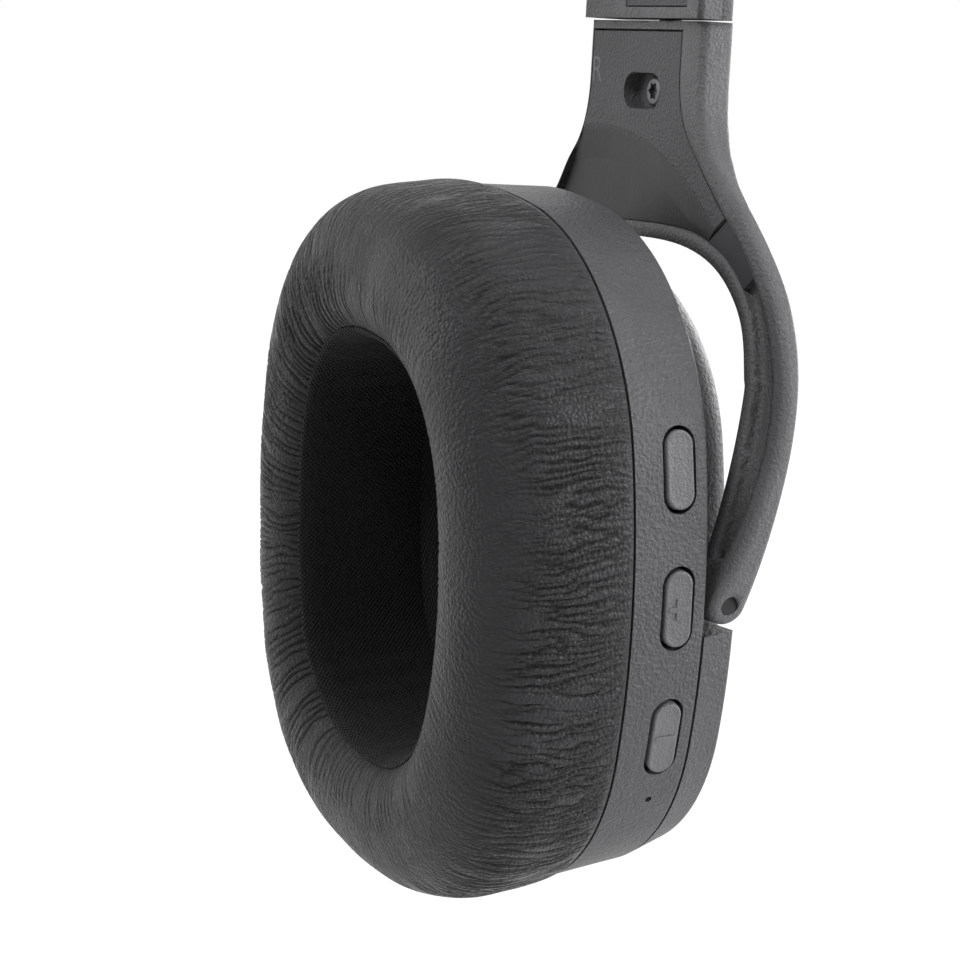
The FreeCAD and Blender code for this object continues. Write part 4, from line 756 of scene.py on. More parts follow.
@dataclass(frozen=True)
class RibbedCloth(Finish):
    """Thin knitted cloth; ribs is the turn of its two sine waves, in radians per decimetre."""

    ribs: float = 520.0
    depth: float = 0.25
    _: KW_ONLY
    tones: tuple[float, float] = (0.25, 1.5)
    sheen: float = 0.06
    sheen_rough: float = 0.4
    strength: float = 0.9

    def material(self) -> Material:
        """Material of this finish.

        Returns:
            The material.
        """
        material, g, shader, _ = self.start()
        cloth = g.add("UVMap", uv_map="UVMap").outputs[0]
        knit = use_group(g, SharedGroup.RIBS, {"Cloth Vector": cloth, "Ribs": self.ribs})
        g.join(self.tint(g, knit.outputs["Thread"]), shader.inputs["Base Color"])
        shader.inputs["Sheen Weight"].default_value = self.sheen
        shader.inputs["Sheen Roughness"].default_value = self.sheen_rough
        normal = self.bump(g, knit.outputs["Height"], self.depth, self.strength)
        g.join(normal, shader.inputs["Normal"])
        return material


@dataclass(frozen=True)
class DrawnMetal(Finish):
    """Metal with fine lines along one axis."""

    lines: tuple[float, float, float] = (300.0, 5000.0, 300.0)
    metallic: float = 1.0
    _: KW_ONLY
    tones: tuple[float, float] = (0.75, 1.2)
    gloss_span: tuple[float, float] = (-0.07, 0.1)
    depth: float = 0.01
    strength: float = 0.3

    def material(self) -> Material:
        """Material of this finish.

        Returns:
            The material.
        """
        material, g, shader, where = self.start()
        shader.inputs["Metallic"].default_value = self.metallic
        streak = g.noise(g.stretched(where, self.lines), 1.0, 3.0, 0.6)
        patch = self.handled(g, where)
        colour = self.tint(g, g.times_plus(patch, 0.3, streak))
        gloss = g.ramp(streak, 0.3, 0.7, *(self.roughness + more for more in self.gloss_span))
        g.join(colour, shader.inputs["Base Color"])
        g.join(gloss, shader.inputs["Roughness"])
        g.join(self.bump(g, streak, self.depth, self.strength), shader.inputs["Normal"])
        return material


@dataclass(frozen=True)
class Laminate(Finish):
    """Circuit board or wrapped cell: tracks or film creases under a clear coat."""

    track: float = 420.0
    _: KW_ONLY
    tones: tuple[float, float] = (0.9, 1.5)
    coat: float = 0.4
    depth: float = 0.03
    strength: float = 0.4

    def material(self) -> Material:
        """Material of this finish.

        Returns:
            The material.
        """
        material, g, shader, where = self.start()
        cell = g.add("TexVoronoi", {"Vector": where, "Scale": self.track, "Randomness": 0.6},
                     feature="DISTANCE_TO_EDGE", distance="EUCLIDEAN").outputs[0]
        track = g.ramp(cell, 0.05, 0.09, 1.0, 0.0)
        g.join(self.tint(g, track), shader.inputs["Base Color"])
        shader.inputs["Coat Weight"].default_value = self.coat
        g.join(self.bump(g, track, self.depth, self.strength), shader.inputs["Normal"])
        return material


@dataclass(frozen=True)
class Ink(Finish):
    """Thin pad print with worn edges."""

    _: KW_ONLY
    tones: tuple[float, float] = (0.8, 1.1)
    wear_per_metre: float = 2600.0

    def material(self) -> Material:
        """Material of this finish.

        Returns:
            The material.
        """
        material, g, shader, where = self.start()
        worn = g.ramp(g.noise(where, self.wear_per_metre, 3.0, 0.6), 0.4, 0.6, 0.0, 1.0)
        g.join(self.tint(g, worn), shader.inputs["Base Color"])
        return material


FINISHES: dict[str, Finish] = {finish.name: finish for finish in (
    MouldedPlastic("body_plastic", (0.088, 0.088, 0.091), 0.45, specular=0.26),
    MouldedPlastic("smooth_plastic", (0.058, 0.058, 0.061), 0.4, 3600.0, 0.03, 0.4, 0.2),
    MouldedPlastic("cup_plastic", (0.050, 0.050, 0.053), 0.42, 2100.0, 0.22, 0.9, 0.6),
    MouldedPlastic("inner_plastic", (0.05, 0.05, 0.052), 0.5, 3200.0, 0.03, 0.3, 0.2),
    MouldedPlastic("button_plastic", (0.095, 0.095, 0.1), 0.40, 3000.0, 0.12, 0.8, 0.5),
    SoftHide("soft_cover", (0.021, 0.021, 0.0225), 0.34, specular=0.14),
    RibbedCloth("scrim_cloth", (0.0035, 0.0035, 0.0038), 0.9, specular=0.1),
    DrawnMetal("spring_steel", (0.5, 0.5, 0.52), 0.32),
    DrawnMetal("screw_steel", (0.09, 0.09, 0.095), 0.34, (2600.0, 2600.0, 2600.0), 0.8),
    DrawnMetal("driver_metal", (0.55, 0.55, 0.56), 0.35),
    DrawnMetal("socket_steel", (0.58, 0.58, 0.6), 0.25),
    Laminate("circuit_board", (0.03, 0.12, 0.06), 0.35),
    Laminate("battery_wrap", (0.12, 0.13, 0.15), 0.3, 90.0),
)}
COVER = DishedPlastic("yoke_cover_plastic", (0.070, 0.070, 0.073), 0.44, specular=0.16)
LINING = RibbedCloth("lining_cloth", (0.011, 0.011, 0.012), 0.8, 900.0, 0.5, specular=0.15)
BLACK_PIN = DrawnMetal("black_pin", (0.02, 0.02, 0.021), 0.45, (2600.0, 2600.0, 2600.0), 0.6)
PRINT = Ink("mark_print", (0.12, 0.12, 0.125), 0.5)
SMOOTH_BODY = MouldedPlastic("cable_cover_plastic", (0.052, 0.052, 0.055), 0.4, 3600.0, 0.015,
                             0.25, 0.15)
DARK_PANEL = MouldedPlastic("panel_plastic", (0.046, 0.046, 0.049), 0.5)


class Paint:
    """Materials by slot, each made once."""

    def __init__(self) -> None:
        """Start with no materials."""
        self.made: dict[str, Material] = {}

    def of(self, finish: Finish | str) -> Material:
        """Material of a finish or of a slot's finish.

        Args:
            finish: the finish, or the name of a material slot.

        Returns:
            The material, made the first time.
        """
        finish = FINISHES[finish] if isinstance(finish, str) else finish
        if finish.name not in self.made:
            self.made[finish.name] = finish.material()
        return self.made[finish.name]

    def dress(self, piece: Piece, slot: str, finish: Finish | None = None) -> Piece:
        """Give a piece one material: its own finish, or else the finish of the record's slot.

        Args:
            piece: piece to dress.
            slot: the record's material slot that the finish stands for.
            finish: the piece's own finish, or None for the slot's.

        Returns:
            The same piece.
        """
        piece.data.materials.clear()
        piece.data.materials.append(self.of(finish or slot))
        return piece

    def dress_nodes(self) -> int:
        """Give every CAD node its slot's material.

        Returns:
            How many nodes were dressed.
        """
        own = {"yoke_cover": COVER, "cable_covers": SMOOTH_BODY, "slider_panel": DARK_PANEL,
               "pivot_pins": BLACK_PIN, "swivel_post": BLACK_PIN}
        for part in frame["record"]["subparts"]:
            node = part["node"]
            stem = node.rsplit("_", 1)[0]
            material = self.of(own.get(stem, part["material_slot"]))
            data = frame["nodes"][node].data
            data.materials.clear()
            data.materials.append(material)
        return len(frame["record"]["subparts"])


# ---------------------------------------------------------------------------------------------
# Soft parts
# ---------------------------------------------------------------------------------------------
@dataclass
class Oval:
    """Eight-arc outline of the cup: side, corner and end arcs whose radii follow the half sizes."""

    side_bow: float = 2.25
    end_bow: float = 2.6
    corner_bow: float = 0.84

    def points(self, half_width: Array, half_height: Array, angle: Array) -> tuple[Array, Array]:
        """Point of the outline whose outward normal has a given angle.

        The angle is folded into the first quadrant, the arc that holds it is chosen, and the point
        is that arc's centre plus its radius along the normal.

        Args:
            half_width: half sizes along the first axis.
            half_height: half sizes along the second axis.
            angle: angles of the outward normal.

        Returns:
            Both coordinates, in the units of the half sizes.
        """
        side_r, end_r = self.side_bow * half_height, self.end_bow * half_width
        corner_r = self.corner_bow * half_width
        side_x, end_y = half_width - side_r, half_height - end_r
        reach_s, reach_e = side_r - corner_r, end_r - corner_r
        span = np.hypot(side_x, end_y)
        along = (span ** 2 + reach_s ** 2 - reach_e ** 2) / (2 * span)
        across = np.sqrt(reach_s ** 2 - along ** 2)
        ux, uy = -side_x / span, end_y / span
        ends = [(side_x + ux * along + s * uy * across, uy * along - s * ux * across)
                for s in (1, -1)]
        first = ends[0][0] + ends[0][1] > ends[1][0] + ends[1][1]
        cx, cy = (np.where(first, ends[0][k], ends[1][k]) for k in (0, 1))
        low, high = np.arctan2(cy, cx - side_x), np.arctan2(cy - end_y, cx)
        c, s = np.cos(angle), np.sin(angle)
        folded = np.arctan2(np.abs(s), np.abs(c))
        centre_x, centre_y, radius = (
            np.where(folded < low, side, np.where(folded < high, corner, end))
            for side, corner, end in ((side_x, cx, 0.0), (0.0, cy, end_y),
                                      (side_r, corner_r, end_r)))
        return (np.sign(c) * (centre_x + radius * np.cos(folded)),
                np.sign(s) * (centre_y + radius * np.sin(folded)))

    def even_angles(self, half_width: float, half_height: float, count: int) -> Array:
        """Normal angles at even steps of length round the outline.

        Args:
            half_width: half size along the first axis.
            half_height: half size along the second axis.
            count: number of angles.

        Returns:
            Angles from just above 0 to just above a full turn.
        """
        fine = np.linspace(1e-4, FULL_TURN + 1e-4, 20001)
        x, y = self.points(np.array(half_width), np.array(half_height), fine)
        length = np.concatenate([[0.0], np.cumsum(np.hypot(np.diff(x), np.diff(y)))])
        return np.interp(np.arange(count) / count * length[-1], length, fine)


@dataclass
class CupFrame:
    """Place of one cup: cup millimetres, X away from the head, to metres in the row's frame."""

    side: Side
    tilt: float = 5.0
    pitch: float = 8.0
    ring_middle: float = 0.95
    oval: Oval = field(default_factory=Oval)

    def turn(self, points: Array) -> Array:
        """Turn cup points about the cup's rest tilt, and half a turn for the left side.

        Args:
            points: points in cup millimetres, X away from the head.

        Returns:
            Points along the row's axes, still in millimetres from the cup's origin.
        """
        t = math.radians(self.tilt)
        x, y, z = points[..., 0], points[..., 1], points[..., 2]
        leaned = np.stack([x * math.cos(t) - z * math.sin(t), y,
                           x * math.sin(t) + z * math.cos(t)], axis=-1)
        return leaned * np.array([self.side.value, self.side.value, 1.0])

    def place(self, points: Array) -> Array:
        """Cup millimetres to metres, anchored on the cushion ring of the CAD.

        Args:
            points: points in cup millimetres.

        Returns:
            Points in the row's frame.
        """
        anchor = middle("cushion_ring_" + self.side.label)
        origin = anchor - self.turn(np.array([-self.ring_middle, 0.0, 0.0])) * MM
        return origin + self.turn(points) * MM

    def outline(self, depth: Array, half_width: Array, half_height: Array, angle: Array) -> Array:
        """Points at a depth on the outline of given half sizes, with the cup's rearward lean.

        Args:
            depth: place along the cup's axis.
            half_width: half sizes along Y.
            half_height: half sizes along Z.
            angle: angles of the outward normal.

        Returns:
            Points in cup millimetres.
        """
        a, b = self.oval.points(half_width, half_height, angle)
        t = math.radians(self.pitch) * self.side.value
        y, z = a * math.cos(t) - b * math.sin(t), a * math.sin(t) + b * math.cos(t)
        return np.stack([depth + np.zeros_like(y), y, z], axis=-1)


@dataclass(frozen=True)
class FoldSet:
    """One family of broken fold lines.

    The count is lines round the ring, the bend and the half width are in line spacings, and the
    seed starts its random numbers.
    """

    count: int
    bend: float
    width: float
    seed: int


@dataclass
class EarCushion:
    """Foam ring in soft leather with a knitted lining in its opening and cloth over the driver.

    Each zone is a plateau over the place round the section, from 0 at the seam over the front.
    """

    place: CupFrame
    paint: Paint
    half_width: float = 40.0
    half_height: float = 48.5
    foam_width: float = 17.9
    foam_rise: float = 19.6
    sag: float = 0.45
    steps_round: int = 1640
    steps_across: int = 92
    wall_row: int = 8
    leather_length: float = 2.86
    deep_folds: FoldSet = FoldSet(215, 1.1, 0.24, 11)
    fine_folds: FoldSet = FoldSet(330, 1.3, 0.27, 21)
    tucks: FoldSet = FoldSet(170, 0.8, 0.32, 31)
    fold_depth: float = 0.40
    tuck_depth: float = 0.30
    broad_swell: float = 0.30
    close_swell: float = 0.10
    wall_zone: tuple[float, float, float, float] = (0.004, 0.03, 0.20, 0.31)
    shoulder_zone: tuple[float, float, float, float] = (0.2, 0.28, 0.40, 0.47)
    tuck_zone: tuple[float, float, float, float] = (0.37, 0.42, 0.50, 0.53)
    soft_zone: tuple[float, float, float, float] = (0.01, 0.12, 0.48, 0.56)
    lining_inset: tuple[float, float] = (18.2, 18.8)
    lining_steps: tuple[int, int] = (480, 66)
    lining_length: float = 1.7
    lining_section: tuple[tuple[float, float], ...] = (
        (17.0, -19.9), (17.7, -19.3), (18.4, -17.2), (18.5, -12.0), (18.4, -5.0), (18.1, -1.4),
        (17.9, -1.4), (17.95, -5.0), (17.95, -12.0), (17.7, -16.0), (17.0, -18.9))
    cloth_half: tuple[float, float] = (24.4, 32.4)
    cloth_hem: float = 0.2
    cloth_steps: tuple[int, int] = (240, 40)
    cloth_front: float = -0.75
    cloth_back: float = -0.25
    section: tuple[tuple[float, float], ...] = (
        (1.15, -0.35), (0.75, -0.75), (0.4, -2.2), (0.1, -4.8), (0.0, -7.8), (0.0, -11.0),
        (0.4, -14.2), (1.6, -17.3), (3.8, -19.9), (7.0, -21.6), (10.4, -22.3), (13.4, -22.1),
        (15.7, -21.0), (17.0, -19.5), (17.8, -17.2), (17.9, -13.0), (17.9, -8.0), (17.6, -3.2),
        (16.6, -2.3), (12.0, -2.2), (7.0, -2.2), (3.0, -2.1), (1.7, -1.2))

    def ring(self, inset: Array, depth: Array, angle: Array) -> Array:
        """Points of rings inset from the outer outline, in cup millimetres.

        Args:
            inset: distance inwards from the outer outline.
            depth: place along the cup's axis.
            angle: normal angles round the ring.

        Returns:
            Array of shape (angles, insets, 3).
        """
        half_h = self.half_height - inset * self.foam_rise / self.foam_width
        points = self.place.outline(depth[None, :], self.half_width - inset[None, :],
                                    half_h[None, :], angle[:, None])
        points[..., 2] -= self.sag * smoothstep(2.0, 12.0, -depth)[None, :]
        return points

    def fold_lines(self, share: Array, run: Array, folds: FoldSet) -> Array:
        """Near-parallel broken lines across the roll.

        The place round the ring times the count, bent by noise, gives each point a phase. The
        nearest whole number names its line, the distance to it draws the line, and noise along
        each line switches it on and off.

        Args:
            share: place round the ring, 0 to 1.
            run: place round the section, 0 to 1.
            folds: the family to draw.

        Returns:
            0 off the lines to 1 on them.
        """
        count, seed = folds.count, folds.seed
        broad = lattice_noise(share, run, count // 3, 11, seed)
        close = lattice_noise(share, run, count, 34, seed + 1)
        phase = share * count + folds.bend * broad + 0.35 * folds.bend * close
        line = np.round(phase)
        on = smoothstep(-0.45, -0.1, lattice_noise((line + 0.5) / count, run, count, 9, seed + 2))
        return (1.0 - smoothstep(0.0, folds.width, np.abs(phase - line))) * on

    def wrinkles(self, share: Array, run: Array, angle: Array) -> tuple[Array, Array]:
        """Height of the folds in the leather, and the painted shade that darkens them.

        Folds cover the outer wall, most of all at the rear and above the middle, run over the
        shoulder at the front, and gather in short tucks round the edge of the opening. Broad noise
        makes the foam uneven.

        Args:
            share: place round the ring, 0 to 1.
            run: place round the section, 0 to 1, from the seam over the front to the back.
            angle: normal angle of the outline there.

        Returns:
            Height in millimetres to add along the normal, and painted shade from 0 to 1.
        """
        rearward = -self.place.side.value * np.cos(angle)
        rear, front = smoothstep(-0.1, 0.7, rearward), smoothstep(-0.1, 0.7, -rearward)
        middle_band = 0.7 + 0.3 * smoothstep(-0.95, -0.1, np.sin(angle)) \
            * (1.0 - smoothstep(0.75, 1.0, np.sin(angle)))
        wall, shoulder, tuck, soft = (plateau(run, edges) for edges in (
            self.wall_zone, self.shoulder_zone, self.tuck_zone, self.soft_zone))
        patchy = 0.6 + 0.4 * smoothstep(-0.3, 0.3, lattice_noise(share, run, 11, 7, 14))
        deep, fine, gather = (self.fold_lines(share, run, folds)
                              for folds in (self.deep_folds, self.fine_folds, self.tucks))
        lines = np.clip(deep + 0.7 * fine, 0.0, 1.0)
        weight = wall * middle_band * (0.6 + 0.4 * rear) + shoulder * (0.08 + 0.8 * front)
        uneven = (lattice_noise(share, run, 13, 5, 15) * self.broad_swell
                  + lattice_noise(share, run, 40, 11, 16) * self.close_swell)
        # Painted shade: the weighted fold lines, which darken the leather's colour.
        shade = np.clip(lines * weight * patchy, 0.0, 1.0)
        pull = tuck * gather * (0.35 + 0.65 * front)
        height = uneven * soft - self.fold_depth * shade - self.tuck_depth * pull
        return height, np.clip(shade + 0.7 * pull, 0.0, 1.0)

    def make_leather(self) -> Piece:
        """Leather ring: the section is carried round the outline, then folded along its normals.

        Returns:
            The piece.
        """
        section = closed_curve(list(self.section), self.steps_across)
        angle = self.place.oval.even_angles(self.half_width, self.half_height, self.steps_round)
        points = self.ring(section[:, 0], section[:, 1], angle)
        hop = np.linalg.norm(np.roll(points, -1, 0) - points, axis=2)
        share = np.concatenate([np.zeros((1, self.steps_across)), np.cumsum(hop, 0)]) / hop.sum(0)
        run = lengths_round(section)
        across = (run[:-1] / run[-1])[None, :] + np.zeros((self.steps_round, 1))
        normal = surface_normals(points)
        radial = points[:, self.wall_row] * np.array([0, 1, 1])
        outwards = np.sign(np.sum(normal[:, self.wall_row] * radial, axis=1).mean())
        height, shade = self.wrinkles(share[:-1], across, angle[:, None] + np.zeros_like(across))
        points = points + normal * (outwards * height)[..., None]
        around = np.concatenate([share, share[:, :1]], axis=1) * self.leather_length
        uv = np.stack([around, np.broadcast_to(run / DECIMETRE, around.shape)], axis=-1)
        label = self.place.side.label
        piece = grid_object("ear_cushion_leather_" + label, self.place.place(points), True, True,
                            uv, "cup_" + label)
        # Painted shade of the folds and tucks, kept per point for the leather's colour.
        store(piece, "fold", shade)
        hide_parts("ear_cushion_" + label)
        return self.paint.dress(piece, "soft_cover")

    def make_lining(self) -> Piece:
        """Knitted lining: a thin closed ring on the wall of the opening, turned under at its edge.

        Returns:
            The piece.
        """
        turns, steps = self.lining_steps
        section = closed_curve(list(self.lining_section), steps)
        angle = self.place.oval.even_angles(self.half_width - self.lining_inset[0],
                                            self.half_height - self.lining_inset[1], turns)
        points = self.ring(section[:, 0], section[:, 1], angle)
        share, run = np.meshgrid(np.arange(turns) / turns, np.arange(steps) / steps, indexing="ij")
        ripple = (0.12 * lattice_noise(share, run, 90, 3, 21)
                  + 0.10 * lattice_noise(share, run, 24, 5, 22))
        points = points - surface_normals(points) * ripple[..., None]
        around = np.linspace(0, 1, turns + 1) * self.lining_length
        length = lengths_round(section) / DECIMETRE
        uv = np.stack(np.meshgrid(around, length, indexing="ij"), axis=-1)
        label = self.place.side.label
        piece = grid_object("ear_cushion_lining_" + label, self.place.place(points), True, True,
                            uv, "cup_" + label)
        return self.paint.dress(piece, "scrim_cloth", LINING)

    def make_scrim(self) -> Piece:
        """Foam-backed cloth over the driver: a shallow dome, closed at the back.

        Returns:
            The piece.
        """
        turns, steps = self.cloth_steps
        half_width, half_height = self.cloth_half
        rings = np.concatenate([np.linspace(0.0, 1.0, steps), np.linspace(1.0, 0.0, steps)])
        front = np.arange(2 * steps) < steps
        rise = 0.85 * (1.0 - rings ** 2) + 0.18 * np.cos(6.0 * math.pi * rings) * (1.0 - rings)
        edge = np.sqrt(np.clip(1.0 - rings ** 8, 0.0, 1.0))
        depth = np.where(front, self.cloth_front - rise - 0.3 * edge, self.cloth_back)
        angle = self.place.oval.even_angles(half_width - self.cloth_hem,
                                            half_height - self.cloth_hem, turns)
        size = np.maximum(rings, 1e-5)[None, :]
        points = self.place.outline(depth[None, :], half_width * size, half_height * size,
                                    angle[:, None])
        flat = points[..., 1:] / DECIMETRE
        uv = np.concatenate([flat, flat[:1]], axis=0)
        uv = np.concatenate([uv, uv[:, -1:]], axis=1)
        label = self.place.side.label
        piece = grid_object("ear_cloth_" + label, self.place.place(points), True, False, uv,
                            "cup_" + label, weld=True)
        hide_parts("ear_scrim_" + label)
        return self.paint.dress(piece, "scrim_cloth")

    def build(self) -> list[Piece]:
        """All pieces of the cushion."""
        return [self.make_leather(), self.make_lining(), self.make_scrim()]


@dataclass
class HeadbandPad:
    """Crowned pad under the headband: one rounded section carried along the band's line."""

    paint: Paint
    half_span: float = 92.3
    level: float = 106.0
    side_radius: float = 40.0
    side_turn: float = 70.0
    start: float = 39.0
    back: float = -3.5
    thickness: float = 8.2
    half_width: float = 15.8
    end_run: float = 9.0
    half_crown: float = 66.0
    swell: float = 0.35
    crease_depth: float = 0.14
    groove_depth: float = 0.35
    girth: float = 80.0
    steps_along: int = 420
    steps_round: int = 96

    def path(self, share: Array) -> tuple[Array, Array, Array]:
        """Band's middle line: a side arc, the crown arc that continues it, and the other side arc.

        Args:
            share: -1 at the left end of the pad, 1 at the right end.

        Returns:
            X and Z of the line, the angle of its outward normal, in millimetres and radians.
        """
        turn, start = math.radians(self.side_turn), math.radians(self.start)
        run = self.half_span - self.side_radius * (1 - math.cos(turn))
        crown = run / math.cos(turn)
        crown_z = self.level + (self.side_radius - crown) * math.sin(turn)
        side_length, crown_length = self.side_radius * (turn - start), crown * (math.pi / 2 - turn)
        reach = np.abs(share) * (side_length + crown_length)
        on_crown = reach < crown_length
        angle = np.where(on_crown, math.pi / 2 - reach / crown,
                         turn - (reach - crown_length) / self.side_radius)
        radius = np.where(on_crown, crown, self.side_radius)
        x = np.where(on_crown, 0.0, self.half_span - self.side_radius) + radius * np.cos(angle)
        z = np.where(on_crown, crown_z, self.level) + radius * np.sin(angle)
        sign = np.where(share < 0, -1.0, 1.0)
        return sign * x, z, np.where(share < 0, math.pi - angle, angle)

    def make(self) -> Piece:
        """Pad: a section flat on the band and crowned below, narrowing to rounded ends.

        Across the section the width follows sign(c)|c|^0.55 and the depth |s|^0.8 of a turning
        angle, the ends follow a quarter circle, and a shallow groove runs beside each edge seam.

        Returns:
            The piece.
        """
        share = np.sin(np.linspace(-1.0, 1.0, self.steps_along) * math.pi / 2)
        share = 0.5 * share + 0.5 * np.linspace(-1.0, 1.0, self.steps_along)
        x, z, angle = self.path(share)
        side = self.side_radius * math.radians(self.side_turn - self.start)
        length = 2.0 * (side + self.half_crown)
        past = (np.abs(share) - 1.0) * length / 2 + self.end_run
        gone = np.clip(past, 0.0, self.end_run) / self.end_run
        end = np.sqrt(np.clip(1.0 - gone ** 2, 0.0, 1.0))[:, None]
        turn = np.linspace(0, FULL_TURN, self.steps_round, endpoint=False)
        c, s = np.cos(turn), np.sin(turn)
        wide = np.sign(c) * np.abs(c) ** 0.55
        deep = np.where(s > 0, np.abs(s) ** 0.8, 0.05 * np.abs(s) ** 0.5)
        groove = creases(np.abs(wide) - 0.86, 0.05) * (s > 0)
        run, round_share = np.meshgrid(np.arange(self.steps_along) / self.steps_along,
                                       turn / FULL_TURN, indexing="ij")
        folds = lattice_noise(run, round_share, 26, 5, 31) * self.swell
        fine = creases(lattice_noise(run, round_share, 150, 6, 32), 0.3) * self.crease_depth
        crown = (self.thickness * deep - self.groove_depth * groove) * (0.25 + 0.75 * end)
        bottom = np.where(s > 0, self.back - crown + (fine + folds) * np.abs(s) ** 2, self.back)
        offset = self.back + (bottom - self.back) * end
        across = wide[None, :] * self.half_width * (0.55 + 0.45 * end) * np.minimum(1.0, end * 4)
        points = np.stack([x[:, None] + offset * np.cos(angle)[:, None], across,
                           z[:, None] + offset * np.sin(angle)[:, None]], axis=-1) * MM
        along = np.linspace(0, length / DECIMETRE, self.steps_along + 1)
        around = np.linspace(0, self.girth / DECIMETRE, self.steps_round + 1)
        uv = np.stack(np.meshgrid(along, around, indexing="ij"), axis=-1)
        piece = grid_object("headband_cushion", points, False, True, uv, "headband", weld=True)
        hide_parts("headband_pad")
        return self.paint.dress(piece, "soft_cover")


# ---------------------------------------------------------------------------------------------
# Screws and marks
# ---------------------------------------------------------------------------------------------
@dataclass
class LobedScrew:
    """Pan-head screw with a six-lobed recess, turned about its own axis."""

    side: Side
    paint: Paint
    head_radius: float = 2.2
    head_height: float = 1.1
    shank_radius: float = 1.05
    lobe_radius: float = 1.02
    lobe_share: float = 0.16
    recess: float = 0.75
    steps_along: int = 90
    steps_round: int = 120

    def make(self) -> Piece:
        """Screw: a profile turned round the axis, whose recess wall swings with cos 6a.

        Returns:
            The piece.
        """
        node = "yoke_screw_" + self.side.label
        low, high = (np.array(v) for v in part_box(node))
        length = (high[0] - low[0]) / MM
        head, rim, shank = self.head_radius, self.head_height, self.shank_radius
        profile = np.array([
            (0.0, self.recess, 0), (0.5, self.recess, 1), (1.0, self.recess - 0.04, 1),
            (1.0, 0.10, 1), (1.06, 0.03, 1), (1.25, 0.0, 0), (1.7, 0.02, 0), (1.98, 0.16, 0),
            (2.14, 0.42, 0), (head, 0.75, 0), (head, rim - 0.03, 0), (head - 0.05, rim, 0),
            (shank, rim, 0), (shank, length - 0.3, 0), (shank - 0.3, length, 0), (0.0, length, 0)])
        rows, knots = np.linspace(0, len(profile) - 1, self.steps_along), np.arange(len(profile))
        radius, depth, lobed = (np.interp(rows, knots, profile[:, k]) for k in range(3))
        turn = np.linspace(0, FULL_TURN, self.steps_round, endpoint=False)
        swing = 1.0 + self.lobe_share * np.cos(6 * turn)[:, None] * lobed[None, :]
        reach = np.where(lobed[None, :] > 0, radius * self.lobe_radius, radius[None, :]) * swing
        centre = middle(node)
        face = low[0] if self.side is Side.RIGHT else high[0]
        points = np.stack([face + self.side.value * depth[None, :] * MM + 0 * reach,
                           centre[1] + reach * np.cos(turn)[:, None] * MM,
                           centre[2] + reach * np.sin(turn)[:, None] * MM], axis=-1)
        piece = grid_object("yoke_screw_lobed_" + self.side.label, points, True, False, None,
                            "fork_" + self.side.label, weld=True)
        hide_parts(node)
        return self.paint.dress(piece, "screw_steel")


@dataclass
class StemMark:
    """Side letter printed on the yoke cover."""

    side: Side
    paint: Paint
    size: float = 5.2
    forward: float = 14.4
    above: float = 2.8
    stand_off: float = 30.0
    thickness: float = 0.02

    def make(self) -> Piece:
        """Letter R or L, flat on the face towards the head, upright and read from inside.

        Returns:
            The piece.
        """
        curve = bpy.data.curves.new("side_letter", "FONT")
        curve.body, curve.size, curve.align_x = self.side.name[0], self.size, "CENTER"
        curve.extrude = self.thickness
        source = link(bpy.data.objects.new("side_letter_source", curve))
        depsgraph = bpy.context.evaluated_depsgraph_get()
        mesh = bpy.data.meshes.new_from_object(source.evaluated_get(depsgraph))
        bpy.data.objects.remove(source)
        flat = mesh_points(mesh)
        sign = self.side.value
        step = np.array([-self.stand_off * sign, self.forward, self.above])
        spot = middle("yoke_screw_" + self.side.label) + step * MM
        cover = frame["nodes"]["yoke_cover_" + self.side.label]
        now = bpy.context.evaluated_depsgraph_get()
        hit, face = cover.ray_cast(spot.tolist(), (float(sign), 0.0, 0.0), depsgraph=now)[:2]
        if not hit:
            raise RuntimeError("the yoke cover has no face behind the side letter")
        flat[:, 1] -= (flat[:, 1].max() + flat[:, 1].min()) / 2
        placed = np.stack([face[0] - sign * flat[:, 2] * MM, spot[1] - sign * flat[:, 0] * MM,
                           spot[2] + flat[:, 1] * MM], axis=-1)
        set_points(mesh, placed)
        label = self.side.label
        piece = link(bpy.data.objects.new("side_letter_" + label, mesh), "fork_" + label)
        return self.paint.dress(piece, "smooth_plastic", PRINT)


class Sign(Enum):
    """What is raised on a key."""

    PLAIN = ()
    PLUS = ("level", "upright")
    MINUS = ("level",)


